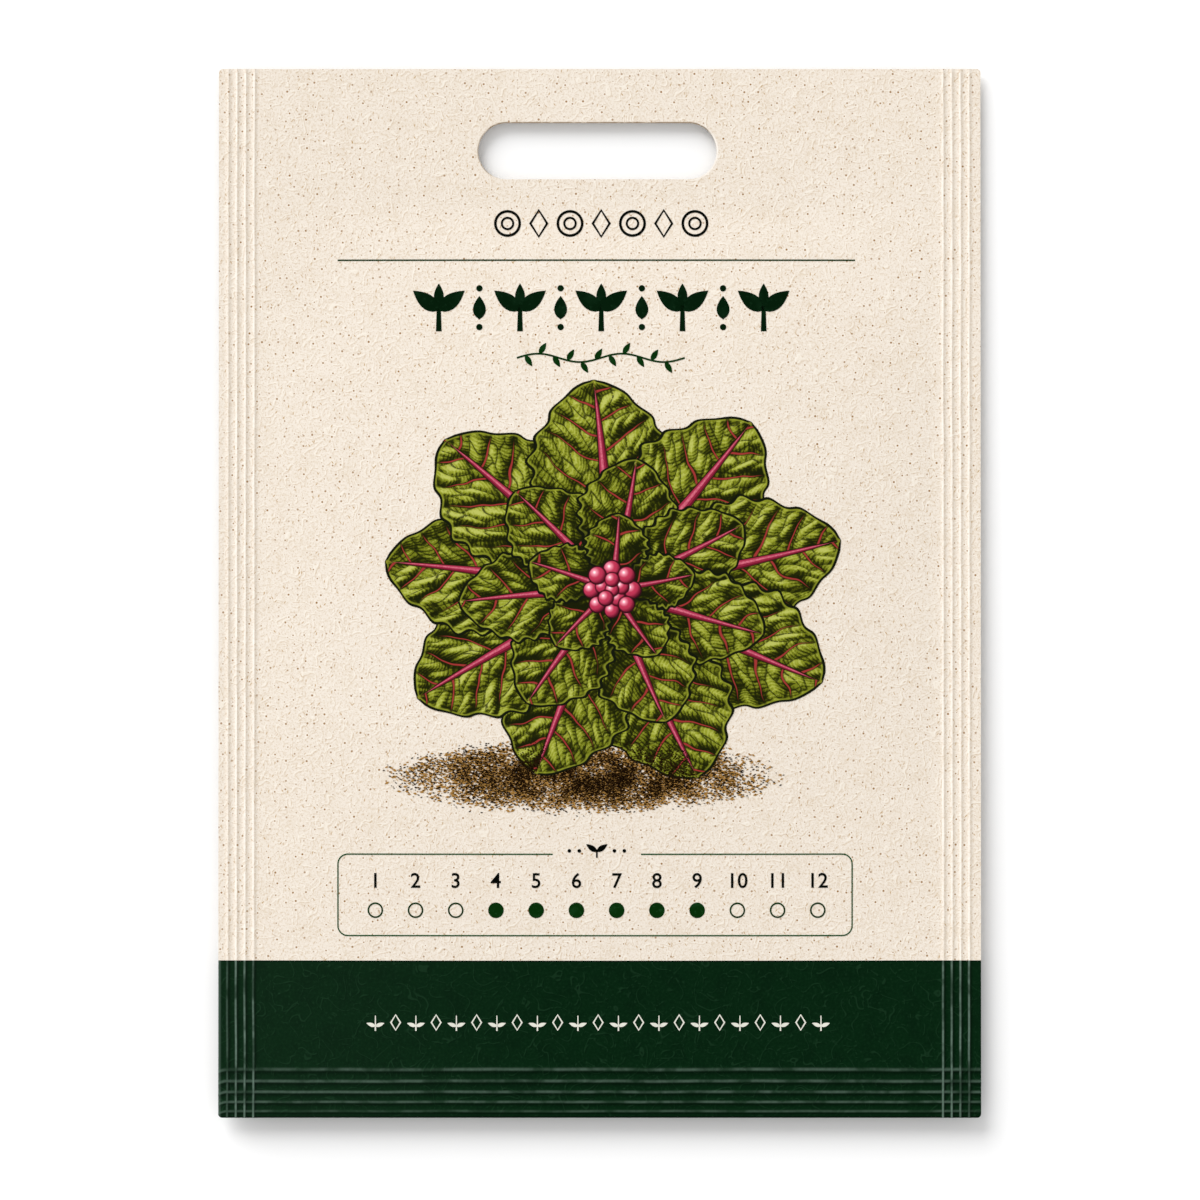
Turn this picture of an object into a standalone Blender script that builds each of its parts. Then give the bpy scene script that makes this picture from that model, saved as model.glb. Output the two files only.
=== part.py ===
"""A sealed paper seed packet that lies on its back, in metres, with +Z up and the front facing up.

Two paper webs are crimped together at both sides and at the bottom, and bonded flat at the top, round a
shallow pocket of seeds. A hang slot is die-cut through both webs. The origin is on the surface that the
packet rests on, under the middle of its outline; +X is the front's right and +Y is the packet's top.
"""

import math
import random

import bmesh
import bpy

MM = 0.001

# Outline, as die-cut
PACKET_WIDTH = 100.0 * MM
PACKET_HEIGHT = 137.6 * MM
CORNER_RADIUS = 0.5 * MM
CORNER_STEPS = 4

# Hang slot, a round-ended slot for a shop peg
SLOT_LENGTH = 31.6 * MM
SLOT_HEIGHT = 7.4 * MM
SLOT_TOP_MARGIN = 7.0 * MM
SLOT_OFFSET_X = -0.3 * MM
SLOT_END_STEPS = 12

# Paper webs, and the gap that keeps their bonded faces apart
SHEET_THICKNESS = 0.3 * MM
SEAL_GAP = 0.3 * MM
TRIM_ALLOWANCE = 1.0 * MM

# Height of the plane between the webs: the filled foot rides higher than the header
SEAL_HEIGHT_FOOT = 2.45 * MM
SEAL_HEIGHT_HEAD = 1.55 * MM

# Crimped ribs: sharp crests with scooped valleys between them
RIB_HEIGHT = 0.16 * MM
SIDE_RIBS = 4
SIDE_RIB_PITCH = 1.14 * MM
LEFT_RIB_MARGIN = 1.11 * MM
RIGHT_RIB_MARGIN = 1.36 * MM
FOOT_RIBS = 5
FOOT_RIB_MARGIN = 0.5 * MM
FOOT_RIB_FIRST_GAP = 1.2 * MM
FOOT_RIB_GAP_GROWTH = 1.08

# Pocket between the seals
SIDE_SEAL_WIDTH = 5.4 * MM
FOOT_SEAL_WIDTH = 6.9 * MM
HEAD_SEAL_DEPTH = 19.0 * MM
FRONT_CROWN_HEIGHT = 3.9 * MM
REST_SHARE = 0.6
POCKET_STATIONS = (0.0, 0.15, 0.3, 0.45, 0.6, 0.7, 0.8, 0.9, 1.0)

# Seeds: corky clusters that lie one deep in the pocket
SEED_COUNT = 40
SEED_LENGTH = 4.2 * MM
SEED_WIDTH = 3.7 * MM
SEED_DEPTH = 2.5 * MM
SEED_SPACING = 5.3 * MM
SEED_CLEARANCE = 0.15 * MM
SEED_LOBES = 4
SEED_LOBE_SHARE = 0.16
SEED_LOBE_SHARPNESS = 4
SEED_LOBE_TURN = 0.4
SEED_LOBE_RISE = (-0.35, 0.5)
SEED_SHAPES = 3
SEED_HEAP_Y = -10.0 * MM
GOLDEN_ANGLE = math.radians(137.508)
RANDOM_SEED = 7

# Die that trims and punches, long enough to pass both faces
DIE_REACH = 10.0 * MM
WELD_DISTANCE = 0.001 * MM

PAPER_COLOUR = (0.85, 0.77, 0.66, 1.0)
HUSK_COLOUR = (0.30, 0.20, 0.11, 1.0)

LEFT, RIGHT = -PACKET_WIDTH / 2, PACKET_WIDTH / 2
FOOT, HEAD = -PACKET_HEIGHT / 2, PACKET_HEIGHT / 2
POCKET_HALF_WIDTH = PACKET_WIDTH / 2 - SIDE_SEAL_WIDTH
POCKET_FOOT = FOOT + FOOT_SEAL_WIDTH
POCKET_HEAD = HEAD - HEAD_SEAL_DEPTH
POCKET_MIDDLE = (POCKET_FOOT + POCKET_HEAD) / 2
POCKET_HALF_HEIGHT = (POCKET_HEAD - POCKET_FOOT) / 2
SLOT_CENTRE_Y = HEAD - SLOT_TOP_MARGIN - SLOT_HEIGHT / 2


def clear_scene():
    """Removes what the startup file holds."""
    for obj in list(bpy.data.objects):
        bpy.data.objects.remove(obj)


def make_collection(name):
    collection = bpy.data.collections.new(name)
    bpy.context.scene.collection.children.link(collection)
    return collection


def make_material(name, colour, roughness):
    """A plain Principled material: paper and husk have no metal in them."""
    material = bpy.data.materials.new(name)
    material.use_nodes = True
    shader = material.node_tree.nodes["Principled BSDF"]
    shader.inputs["Base Color"].default_value = colour
    shader.inputs["Roughness"].default_value = roughness
    shader.inputs["Metallic"].default_value = 0.0
    return material


def side_rib_crests():
    """X of each vertical crest, left seal then right seal."""
    left = [LEFT + LEFT_RIB_MARGIN + k * SIDE_RIB_PITCH for k in range(SIDE_RIBS)]
    right = [RIGHT - RIGHT_RIB_MARGIN - k * SIDE_RIB_PITCH for k in range(SIDE_RIBS)]
    return left, right[::-1]


def foot_rib_crests():
    """Y of each horizontal crest, from the foot up. The gaps between them widen upwards."""
    crests = [FOOT + FOOT_RIB_MARGIN]
    gap = FOOT_RIB_FIRST_GAP
    for _ in range(FOOT_RIBS - 1):
        crests.append(crests[-1] + gap)
        gap *= FOOT_RIB_GAP_GROWTH
    return crests


def valleys_between(crests):
    """Valley bottoms of a row of ribs, with one before the first crest and one after the last."""
    inner = [(a + b) / 2 for a, b in zip(crests, crests[1:])]
    return [2 * crests[0] - inner[0], *inner, 2 * crests[-1] - inner[-1]]


def rib_stations(crests, start, end):
    """Grid lines that catch every crest and valley, between start and end."""
    lines = sorted([*crests, *valleys_between(crests), start, end])
    return [line for line in lines if start <= line <= end]


def rib_lift(place, crests):
    """Height of the ribs at a place across them: a crest is a cusp, and a valley is a parabola."""
    valleys = valleys_between(crests)
    lift = 0.0
    for crest, low, high in zip(crests, valleys, valleys[1:]):
        reach = (crest - low) if place < crest else (high - crest)
        share = abs(place - crest) / reach
        if share < 1:
            lift = max(lift, RIB_HEIGHT * (1 - share) ** 2)
    return lift


def seal_height(y):
    """Height of the plane between the two webs, which slopes down to the header."""
    share = (y - FOOT) / PACKET_HEIGHT
    return SEAL_HEIGHT_FOOT + (SEAL_HEIGHT_HEAD - SEAL_HEIGHT_FOOT) * share


def pocket_place(x, y):
    """Place in the pocket, from -1 to 1 across it and along it, held at its border outside."""
    across = max(-1.0, min(1.0, x / POCKET_HALF_WIDTH))
    along = max(-1.0, min(1.0, (y - POCKET_MIDDLE) / POCKET_HALF_HEIGHT))
    return across, along


def front_swell(x, y):
    """Share of the front's crown: the web arches evenly from seal to seal."""
    across, along = pocket_place(x, y)
    return (1 - across**2) * (1 - along**2)


def back_swell(x, y):
    """Share of the way down to the resting surface: flat in the middle, with smooth shoulders."""
    share = 1.0
    for place in pocket_place(x, y):
        t = min(1.0, (1 - abs(place)) / (1 - REST_SHARE))
        share *= t * t * (3 - 2 * t)
    return share


def all_ribs(x, y):
    """Ribs of the side seals and of the foot seal, which cross at the two lower corners."""
    left, right = side_rib_crests()
    return max(rib_lift(x, left), rib_lift(x, right), rib_lift(y, foot_rib_crests()))


def front_height(x, y):
    """Outer surface of the front web."""
    swell = front_swell(x, y)
    flat = seal_height(y) + SEAL_GAP / 2 + SHEET_THICKNESS
    return (1 - swell) * flat + swell * FRONT_CROWN_HEIGHT + all_ribs(x, y)


def back_height(x, y):
    """Outer surface of the back web, which is at 0 where the packet rests."""
    flat = seal_height(y) - SEAL_GAP / 2 - SHEET_THICKNESS
    return (1 - back_swell(x, y)) * flat + all_ribs(x, y)


def grid_lines():
    """Stations of the webs' grid: close at the ribs, wide in the pocket, past the trim at the rim."""
    left, right = side_rib_crests()
    half = [share * POCKET_HALF_WIDTH for share in POCKET_STATIONS]
    columns = [
        *rib_stations(left, LEFT - TRIM_ALLOWANCE, -half[-1]),
        *[-place for place in reversed(half[1:-1])],
        *half[:-1],
        *rib_stations(right, half[-1], RIGHT + TRIM_ALLOWANCE),
    ]
    rise = [share * POCKET_HALF_HEIGHT for share in POCKET_STATIONS]
    rows = [
        *rib_stations(foot_rib_crests(), FOOT - TRIM_ALLOWANCE, POCKET_FOOT),
        *[POCKET_MIDDLE - place for place in reversed(rise[1:-1])],
        *[POCKET_MIDDLE + place for place in rise],
        HEAD + TRIM_ALLOWANCE,
    ]
    return columns, rows


def arc_points(x, y, radius, start, sweep, steps):
    """Points along an arc, in order, both ends included. Angles are in degrees."""
    angles = [math.radians(start + sweep * k / steps) for k in range(steps + 1)]
    return [(x + radius * math.cos(a), y + radius * math.sin(a)) for a in angles]


def mesh_of(guide, name, collection):
    """A mesh object from a curve object, with its caps welded. The curve is removed."""
    graph = bpy.context.evaluated_depsgraph_get()
    mesh = bpy.data.meshes.new_from_object(guide.evaluated_get(graph))
    build = bmesh.new()
    build.from_mesh(mesh)
    bmesh.ops.remove_doubles(build, verts=build.verts, dist=WELD_DISTANCE)
    bmesh.ops.recalc_face_normals(build, faces=build.faces)
    build.to_mesh(mesh)
    build.free()
    obj = bpy.data.objects.new(name, mesh)
    obj.matrix_world = guide.matrix_world
    collection.objects.link(obj)
    bpy.data.objects.remove(guide)
    return obj


def packet_outline():
    """Points of the packet's outline, with its small round corners."""
    inner_x, inner_y = RIGHT - CORNER_RADIUS, HEAD - CORNER_RADIUS
    points = []
    for x, y, start in ((1, 1, 0), (-1, 1, 90), (-1, -1, 180), (1, -1, 270)):
        points += arc_points(x * inner_x, y * inner_y, CORNER_RADIUS, start, 90, CORNER_STEPS)
    return points


def slot_outline():
    """Points of the hang slot: two straight edges between two half circles."""
    end_radius = SLOT_HEIGHT / 2
    reach = SLOT_LENGTH / 2 - end_radius
    return [
        *arc_points(SLOT_OFFSET_X + reach, SLOT_CENTRE_Y, end_radius, -90, 180, SLOT_END_STEPS),
        *arc_points(SLOT_OFFSET_X - reach, SLOT_CENTRE_Y, end_radius, 90, 180, SLOT_END_STEPS),
    ]


def make_die(collection):
    """The cutter that trims the outline and punches the slot, as one prism with a hole."""
    curve = bpy.data.curves.new("die_outline", "CURVE")
    curve.dimensions = "2D"
    curve.fill_mode = "BOTH"
    curve.extrude = DIE_REACH
    for points in (packet_outline(), slot_outline()):
        spline = curve.splines.new("POLY")
        spline.points.add(len(points) - 1)
        for point, (x, y) in zip(spline.points, points):
            point.co = (x, y, 0, 1)
        spline.use_cyclic_u = True
    guide = bpy.data.objects.new("die_outline", curve)
    collection.objects.link(guide)
    die = mesh_of(guide, "die", collection)
    die.hide_render = True
    die.display_type = "WIRE"
    return die


def make_web(name, height, faces_up, material, die, collection, parent):
    """One paper web: a grid bent to its outer surface, given its thickness inwards, and die-cut."""
    columns, rows = grid_lines()
    build = bmesh.new()
    bmesh.ops.create_grid(build, x_segments=len(columns) - 1, y_segments=len(rows) - 1, size=0.5)
    for vert in build.verts:
        x = columns[round((vert.co.x + 0.5) * (len(columns) - 1))]
        y = rows[round((vert.co.y + 0.5) * (len(rows) - 1))]
        vert.co = (x, y, height(x, y))
    if not faces_up:
        bmesh.ops.reverse_faces(build, faces=build.faces)
    mesh = bpy.data.meshes.new(name)
    build.to_mesh(mesh)
    build.free()
    mesh.materials.append(material)
    web = bpy.data.objects.new(name, mesh)
    collection.objects.link(web)
    web.parent = parent
    solidify = web.modifiers.new("paper_thickness", "SOLIDIFY")
    solidify.thickness = SHEET_THICKNESS
    solidify.offset = -1.0
    trim = web.modifiers.new("die_cut", "BOOLEAN")
    trim.operation = "INTERSECT"
    trim.object = die
    return web


def seed_shape(name, material, draw):
    """One corky cluster: a ball with a few round lobes, flattened as it lies."""
    build = bmesh.new()
    bmesh.ops.create_icosphere(build, subdivisions=2, radius=1.0)
    lobes = []
    for k in range(SEED_LOBES):
        turn = 2 * math.pi * k / SEED_LOBES + draw.uniform(-SEED_LOBE_TURN, SEED_LOBE_TURN)
        rise = draw.uniform(*SEED_LOBE_RISE)
        lobes.append((math.cos(turn) * math.cos(rise), math.sin(turn) * math.cos(rise), math.sin(rise)))
    for vert in build.verts:
        nearest = max(sum(a * b for a, b in zip(vert.co, lobe)) for lobe in lobes)
        vert.co *= 1 - SEED_LOBE_SHARE + SEED_LOBE_SHARE * max(0.0, nearest) ** SEED_LOBE_SHARPNESS
    for axis, size in enumerate((SEED_LENGTH, SEED_WIDTH, SEED_DEPTH)):
        low = min(vert.co[axis] for vert in build.verts)
        high = max(vert.co[axis] for vert in build.verts)
        for vert in build.verts:
            vert.co[axis] = (vert.co[axis] - (low + high) / 2) * size / (high - low)
    mesh = bpy.data.meshes.new(name)
    build.to_mesh(mesh)
    build.free()
    mesh.shade_smooth()
    mesh.materials.append(material)
    return mesh


def scatter_seeds(material, collection, parent):
    """Seeds one deep on the back web, spread from the heap's middle at the golden angle."""
    draw = random.Random(RANDOM_SEED)
    shapes = [seed_shape(f"seed_shape_{k}", material, draw) for k in range(SEED_SHAPES)]
    rest = SHEET_THICKNESS + SEED_CLEARANCE + SEED_DEPTH / 2
    for k in range(SEED_COUNT):
        radius = SEED_SPACING * math.sqrt((k + 0.5) / math.pi)
        angle = k * GOLDEN_ANGLE
        seed = bpy.data.objects.new(f"seed_{k + 1:02d}", shapes[k % SEED_SHAPES])
        seed.location = (radius * math.cos(angle), SEED_HEAP_Y + radius * math.sin(angle), rest)
        seed.rotation_euler = (0, 0, draw.uniform(0, 2 * math.pi))
        seed.parent = parent
        collection.objects.link(seed)


def main():
    clear_scene()
    packet = make_collection("seed_packet")
    cutters = make_collection("cutters")
    origin = bpy.data.objects.new("seed_packet_origin", None)
    packet.objects.link(origin)
    paper = make_material("speckled_kraft_paper", PAPER_COLOUR, 0.85)
    husk = make_material("corky_seed_husk", HUSK_COLOUR, 0.9)
    die = make_die(cutters)
    make_web("front_sheet", front_height, True, paper, die, packet, origin)
    make_web("back_sheet", back_height, False, paper, die, packet, origin)
    scatter_seeds(husk, packet, origin)


main()
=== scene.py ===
"""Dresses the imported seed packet: crimped and printed paper webs, the seeds inside, and a plain studio.

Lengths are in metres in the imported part's own frame: +X is the front's right, +Y is the packet's top and
+Z points out of the printed front. Pattern sizes in the materials are in millimetres.
"""

import ast
import logging
import math
from dataclasses import dataclass, field
from enum import Enum
from typing import Any

import bmesh
import bpy
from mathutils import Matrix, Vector


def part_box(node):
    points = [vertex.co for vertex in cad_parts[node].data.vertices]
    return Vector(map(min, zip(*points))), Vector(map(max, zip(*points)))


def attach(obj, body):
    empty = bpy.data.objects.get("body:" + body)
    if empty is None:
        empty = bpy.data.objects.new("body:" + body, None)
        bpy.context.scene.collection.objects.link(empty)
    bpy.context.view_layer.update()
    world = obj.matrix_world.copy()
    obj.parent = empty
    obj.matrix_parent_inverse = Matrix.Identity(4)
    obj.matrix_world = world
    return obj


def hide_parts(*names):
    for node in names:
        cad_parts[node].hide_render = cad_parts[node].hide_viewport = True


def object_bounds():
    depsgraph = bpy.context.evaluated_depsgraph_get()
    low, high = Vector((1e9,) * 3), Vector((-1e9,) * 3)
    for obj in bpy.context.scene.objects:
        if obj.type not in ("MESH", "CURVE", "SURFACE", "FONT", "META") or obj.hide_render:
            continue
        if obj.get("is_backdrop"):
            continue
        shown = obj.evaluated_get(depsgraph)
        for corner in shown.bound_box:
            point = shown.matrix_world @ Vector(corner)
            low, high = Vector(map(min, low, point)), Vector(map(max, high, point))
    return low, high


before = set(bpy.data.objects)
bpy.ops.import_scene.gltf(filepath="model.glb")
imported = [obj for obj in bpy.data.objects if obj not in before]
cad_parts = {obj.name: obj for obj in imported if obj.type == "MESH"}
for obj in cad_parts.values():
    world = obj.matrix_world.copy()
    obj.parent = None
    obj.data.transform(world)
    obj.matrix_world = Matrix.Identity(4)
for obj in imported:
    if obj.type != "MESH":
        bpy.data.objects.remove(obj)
CAD_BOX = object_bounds()

MM = 0.001
SLOT_CENTRE = (-0.3, 58.02)
SLOT_SIZE = (31.3, 7.4)
ROOT = "root"
LOG = logging.getLogger("seed_packet")

# The ribs of each web are counted inwards from its edges, and the webs carry the counts for the finishes.
# The offsets keep the left and the right counts on their own sides of the split.
SIDE_RIBS = 4
FOOT_RIBS = 5
LEFT_OFFSET = 10
RIGHT_OFFSET = 96
COUNT_SPLIT = -50

OPERATORS = {
    ast.Add: "ADD",
    ast.Sub: "SUBTRACT",
    ast.Mult: "MULTIPLY",
    ast.Div: "DIVIDE",
    ast.Pow: "POWER",
    ast.Mod: "MODULO",
}
CALLS = {
    "abs": "ABSOLUTE",
    "min": "MINIMUM",
    "max": "MAXIMUM",
    "sin": "SINE",
    "cos": "COSINE",
    "sqrt": "SQRT",
    "fract": "FRACT",
    "floor": "FLOOR",
    "sign": "SIGN",
    "log": "LOGARITHM",
    "less": "LESS_THAN",
    "more": "GREATER_THAN",
}


def linear(colour: str) -> tuple[float, float, float, float]:
    """Turns an sRGB hex colour into the linear colour that Blender's sockets hold.

    Args:
        colour: Six hex digits.

    Returns:
        Linear red, green and blue, and an alpha of 1.
    """
    parts = [int(colour[k:k + 2], 16) / 255 for k in (0, 2, 4)]
    lit = [p / 12.92 if p <= 0.04045 else ((p + 0.055) / 1.055) ** 2.4 for p in parts]
    return (*lit, 1.0)


def add_node(tree: Any, kind: str, inputs: dict | None = None, **settings: Any) -> Any:
    """Adds a node with its settings, and links or sets its inputs.

    Args:
        tree: The node tree that gets the node.
        kind: The node's type name.
        inputs: Values by socket name or index. A node stands for its first enabled output.
        settings: The node's own properties.

    Returns:
        The new node.
    """
    node = tree.nodes.new(kind)
    for name, value in settings.items():
        setattr(node, name, value)
    for key, value in (inputs or {}).items():
        by_name = [s for s in node.inputs if s.enabled and s.name == key]
        socket = node.inputs[key] if isinstance(key, int) else by_name[0]
        if isinstance(value, bpy.types.Node):
            value = next(s for s in value.outputs if s.enabled)
        if isinstance(value, bpy.types.NodeSocket):
            tree.links.new(value, socket)
        else:
            socket.default_value = value
    return node


def formula(tree: Any, text: str, **values: Any) -> Any:
    """Builds the nodes that work out a written formula.

    Args:
        tree: The node tree that gets the nodes.
        text: The formula, in Python's signs, with the calls in CALLS and smooth(x, low, high).
        values: The sockets, nodes or numbers that its names stand for.

    Returns:
        The output that holds the result.
    """
    def build(part: ast.AST) -> Any:
        if isinstance(part, ast.Constant):
            return part.value
        if isinstance(part, ast.Name):
            return values[part.id]
        if isinstance(part, ast.UnaryOp):
            terms, operation = [build(part.operand), -1.0], "MULTIPLY"
        elif isinstance(part, ast.BinOp):
            terms, operation = [build(part.left), build(part.right)], OPERATORS[type(part.op)]
        elif part.func.id == "smooth":
            names = ("Value", "From Min", "From Max")
            inputs = dict(zip(names, (build(term) for term in part.args)))
            return add_node(tree, "ShaderNodeMapRange", inputs, interpolation_type="SMOOTHSTEP").outputs[0]
        else:
            terms, operation = [build(term) for term in part.args], CALLS[part.func.id]
        return add_node(tree, "ShaderNodeMath", dict(enumerate(terms)), operation=operation).outputs[0]

    return build(ast.parse(text).body[0].value)


def work_out(tree: Any, names: dict[str, Any], steps: dict[str, str]) -> None:
    """Adds the results of written steps to the names. Each step may use those before it."""
    for name, line in steps.items():
        names[name] = formula(tree, line, **names)


def lay_colours(tree: Any, base: Any, layers: list[tuple[Any, Any]], **values: Any) -> Any:
    """Lays colours over one another, each by its mask.

    Args:
        tree: The material's node tree.
        base: The lowest colour, as hex digits or a socket.
        layers: Masks from 0 to 1, as sockets or formulas, with their colours, from the lowest up.
        values: What the names in the formulas stand for.

    Returns:
        The output that holds the finished colour.
    """
    below = base
    for mask, colour in layers:
        share = formula(tree, mask, **values) if isinstance(mask, str) else mask
        a, b = (linear(c) if isinstance(c, str) else c for c in (below, colour))
        below = add_node(tree, "ShaderNodeMix", {"Factor": share, "A": a, "B": b}, data_type="RGBA").outputs[2]
    return below


def add_object(name: str, data: Any) -> bpy.types.Object:
    """Puts a new object into the scene."""
    obj = bpy.data.objects.new(name, data)
    bpy.context.scene.collection.objects.link(obj)
    return obj


def to_mesh(obj: bpy.types.Object) -> bpy.types.Mesh:
    """Gives the finished form of an object, with its modifiers, as a new mesh."""
    graph = bpy.context.evaluated_depsgraph_get()
    return bpy.data.meshes.new_from_object(obj.evaluated_get(graph), preserve_all_data_layers=True, depsgraph=graph)


class Recipe:
    """A Geometry Nodes tree with named inputs, which ends in Realize Instances and Set Material."""

    KINDS = {
        float: "NodeSocketFloat",
        int: "NodeSocketInt",
        bpy.types.Object: "NodeSocketObject",
        bpy.types.Material: "NodeSocketMaterial",
    }

    def __init__(self, name: str, **inputs: type) -> None:
        """Starts the tree.

        Args:
            name: The tree's name.
            inputs: The type of each named input.
        """
        self.tree = bpy.data.node_groups.new(name, "GeometryNodeTree")
        for side in ("INPUT", "OUTPUT"):
            self.tree.interface.new_socket("Geometry", in_out=side, socket_type="NodeSocketGeometry")
        for title, kind in inputs.items():
            self.tree.interface.new_socket(title, in_out="INPUT", socket_type=self.KINDS[kind])
        group = self.tree.nodes.new("NodeGroupInput")
        self.geometry = group.outputs["Geometry"]
        self.values = {title: group.outputs[title] for title in inputs}

    def add(self, kind: str, inputs: dict | None = None, **settings: Any) -> Any:
        """Adds a node to this tree."""
        return add_node(self.tree, kind, inputs, **settings)

    def formula(self, text: str, **values: Any) -> Any:
        """Builds a formula that may also name this tree's inputs."""
        return formula(self.tree, text, **{**self.values, **values})

    def place(self) -> tuple[Any, Any, Any]:
        """Gives the X, Y and Z of each point."""
        axes = self.add("ShaderNodeSeparateXYZ", {0: self.add("GeometryNodeInputPosition")})
        return tuple(axes.outputs)

    def store(self, geometry: Any, name: str, value: Any, domain: str = "POINT") -> Any:
        """Keeps a number on the geometry for the materials or for a later tree.

        Args:
            geometry: The geometry that gets it.
            name: The attribute's name.
            value: The number's socket.
            domain: POINT or INSTANCE.

        Returns:
            The geometry with the attribute.
        """
        inputs = {"Geometry": geometry, "Name": name, "Value": value}
        return self.add("GeometryNodeStoreNamedAttribute", inputs, data_type="FLOAT", domain=domain)

    def join(self, first: Any, *others: Any) -> Any:
        """Joins geometries in the given order."""
        joined = self.add("GeometryNodeJoinGeometry", {0: first})
        for other in others:
            self.tree.links.new(other, joined.inputs[0])
        return joined

    def random(self, low: float, high: float, seed: Any, **inputs: Any) -> Any:
        """Draws a number for each element."""
        return self.add("FunctionNodeRandomValue", {"Min": low, "Max": high, "Seed": seed, **inputs},
                        data_type="FLOAT")

    def vector(self, **axes: Any) -> Any:
        """Puts X, Y and Z together."""
        return self.add("ShaderNodeCombineXYZ", axes)

    def rotation(self, angle: Any) -> Any:
        """Makes a turn about the packet's depth from an angle."""
        return self.add("FunctionNodeEulerToRotation", {0: self.vector(Z=angle)})

    def finish(self, geometry: Any, *finishes: tuple[Any, Any]) -> "Recipe":
        """Closes the tree.

        Args:
            geometry: The finished geometry, with or without instances.
            finishes: Materials, each with the faces that it goes on, or with True for all of them.

        Returns:
            This recipe.
        """
        geometry = self.add("GeometryNodeRealizeInstances", {"Geometry": geometry})
        for material, faces in finishes:
            inputs = {"Geometry": geometry, "Selection": faces, "Material": material}
            geometry = self.add("GeometryNodeSetMaterial", inputs)
        self.add("NodeGroupOutput", {"Geometry": geometry})
        return self

    def apply_to(self, obj: bpy.types.Object, **values: Any) -> None:
        """Puts the tree on an object as a modifier, with a value for each named input."""
        modifier = obj.modifiers.new(self.tree.name, "NODES")
        modifier.node_group = self.tree
        for item in self.tree.interface.items_tree:
            if item.in_out == "INPUT" and item.name in values:
                value = values[item.name]
                is_number = item.socket_type == "NodeSocketFloat"
                modifier[item.identifier] = float(value) if is_number else value


class Sketch:
    """Flat artwork in the making: faces at height 0 that look up."""

    def __init__(self) -> None:
        """Starts an empty sheet."""
        self.build = bmesh.new()

    def fill(self, points: list[tuple[float, float]]) -> None:
        """Adds one face from points in anticlockwise order."""
        self.build.faces.new([self.build.verts.new((x, y, 0)) for x, y in points])

    def disc(self, x: float, y: float, radius: float, steps: int = 32) -> None:
        """Adds a filled circle."""
        turns = [2 * math.pi * k / steps for k in range(steps)]
        self.fill([(x + radius * math.cos(a), y + radius * math.sin(a)) for a in turns])

    def stroke(self, points: list[tuple[float, float]], width: float, closed: bool = False,
               tip_share: float = 1.0) -> None:
        """Adds a line of even or tapering width.

        Args:
            points: The line's middle, in order.
            width: Width at the start.
            closed: Whether the line joins up with its start.
            tip_share: Width at the end as a share of the start's.
        """
        count = len(points)
        rails = []
        for k, (x, y) in enumerate(points):
            before = points[(k - 1) % count] if closed or k else points[0]
            after = points[(k + 1) % count] if closed or k < count - 1 else points[-1]
            run = Vector((after[0] - before[0], after[1] - before[1])).normalized()
            half = width / 2 * (1 + (tip_share - 1) * k / max(1, count - 1))
            rails.append([self.build.verts.new((x - side * run.y * half, y + side * run.x * half, 0))
                          for side in (1, -1)])
        pairs = list(zip(rails, rails[1:]))
        if closed:
            pairs.append((rails[-1], rails[0]))
        for (left_a, right_a), (left_b, right_b) in pairs:
            self.build.faces.new([left_a, right_a, right_b, left_b])

    def ring(self, x: float, y: float, radius: float, width: float, steps: int = 32) -> None:
        """Adds a circle's line."""
        turns = [2 * math.pi * k / steps for k in range(steps)]
        self.stroke([(x + radius * math.cos(a), y + radius * math.sin(a)) for a in turns], width, closed=True)

    def leaf(self, x: float, y: float, turn: float, length: float, width: float, steps: int = 8) -> None:
        """Adds a filled leaf with a round belly and a pointed tip.

        Args:
            x: Place of its foot across.
            y: Place of its foot along.
            turn: Direction it grows in, in degrees.
            length: Foot to tip.
            width: Widest part.
            steps: Points along each side.
        """
        angle = math.radians(turn)
        side = []
        for k in range(1, steps):
            share = k / steps
            side.append((share * length, width / 2 * math.sin(math.pi * share ** 0.8) ** 0.9))
        outline = [(0, 0), *[(a, -b) for a, b in side], (length, 0), *[(a, b) for a, b in side[::-1]]]
        self.fill([(x + a * math.cos(angle) - b * math.sin(angle), y + a * math.sin(angle) + b * math.cos(angle))
                   for a, b in outline])

    def lozenge(self, half_width: float, half_height: float, line: float | None = None) -> None:
        """Adds an upright lozenge, filled or as a line."""
        tips = [(-half_width, 0), (0, -half_height), (half_width, 0), (0, half_height)]
        if line is None:
            self.fill(tips)
        else:
            self.stroke(tips, line, closed=True)

    def to_object(self, name: str) -> bpy.types.Object:
        """Ends the sheet and gives it as an object in the scene."""
        mesh = bpy.data.meshes.new(name)
        self.build.to_mesh(mesh)
        self.build.free()
        return add_object(name, mesh)


def straight(start: tuple[float, float], end: tuple[float, float], steps: int) -> list[tuple[float, float]]:
    """Gives evenly spaced points from start to end, both included."""
    shares = [k / steps for k in range(steps + 1)]
    return [(start[0] + (end[0] - start[0]) * s, start[1] + (end[1] - start[1]) * s) for s in shares]


def arc(x: float, y: float, radius: float, start: float, sweep: float, steps: int) -> list[tuple[float, float]]:
    """Gives points along an arc, both ends included, with angles in degrees."""
    angles = [math.radians(start + sweep * k / steps) for k in range(steps + 1)]
    return [(x + radius * math.cos(a), y + radius * math.sin(a)) for a in angles]


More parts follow.
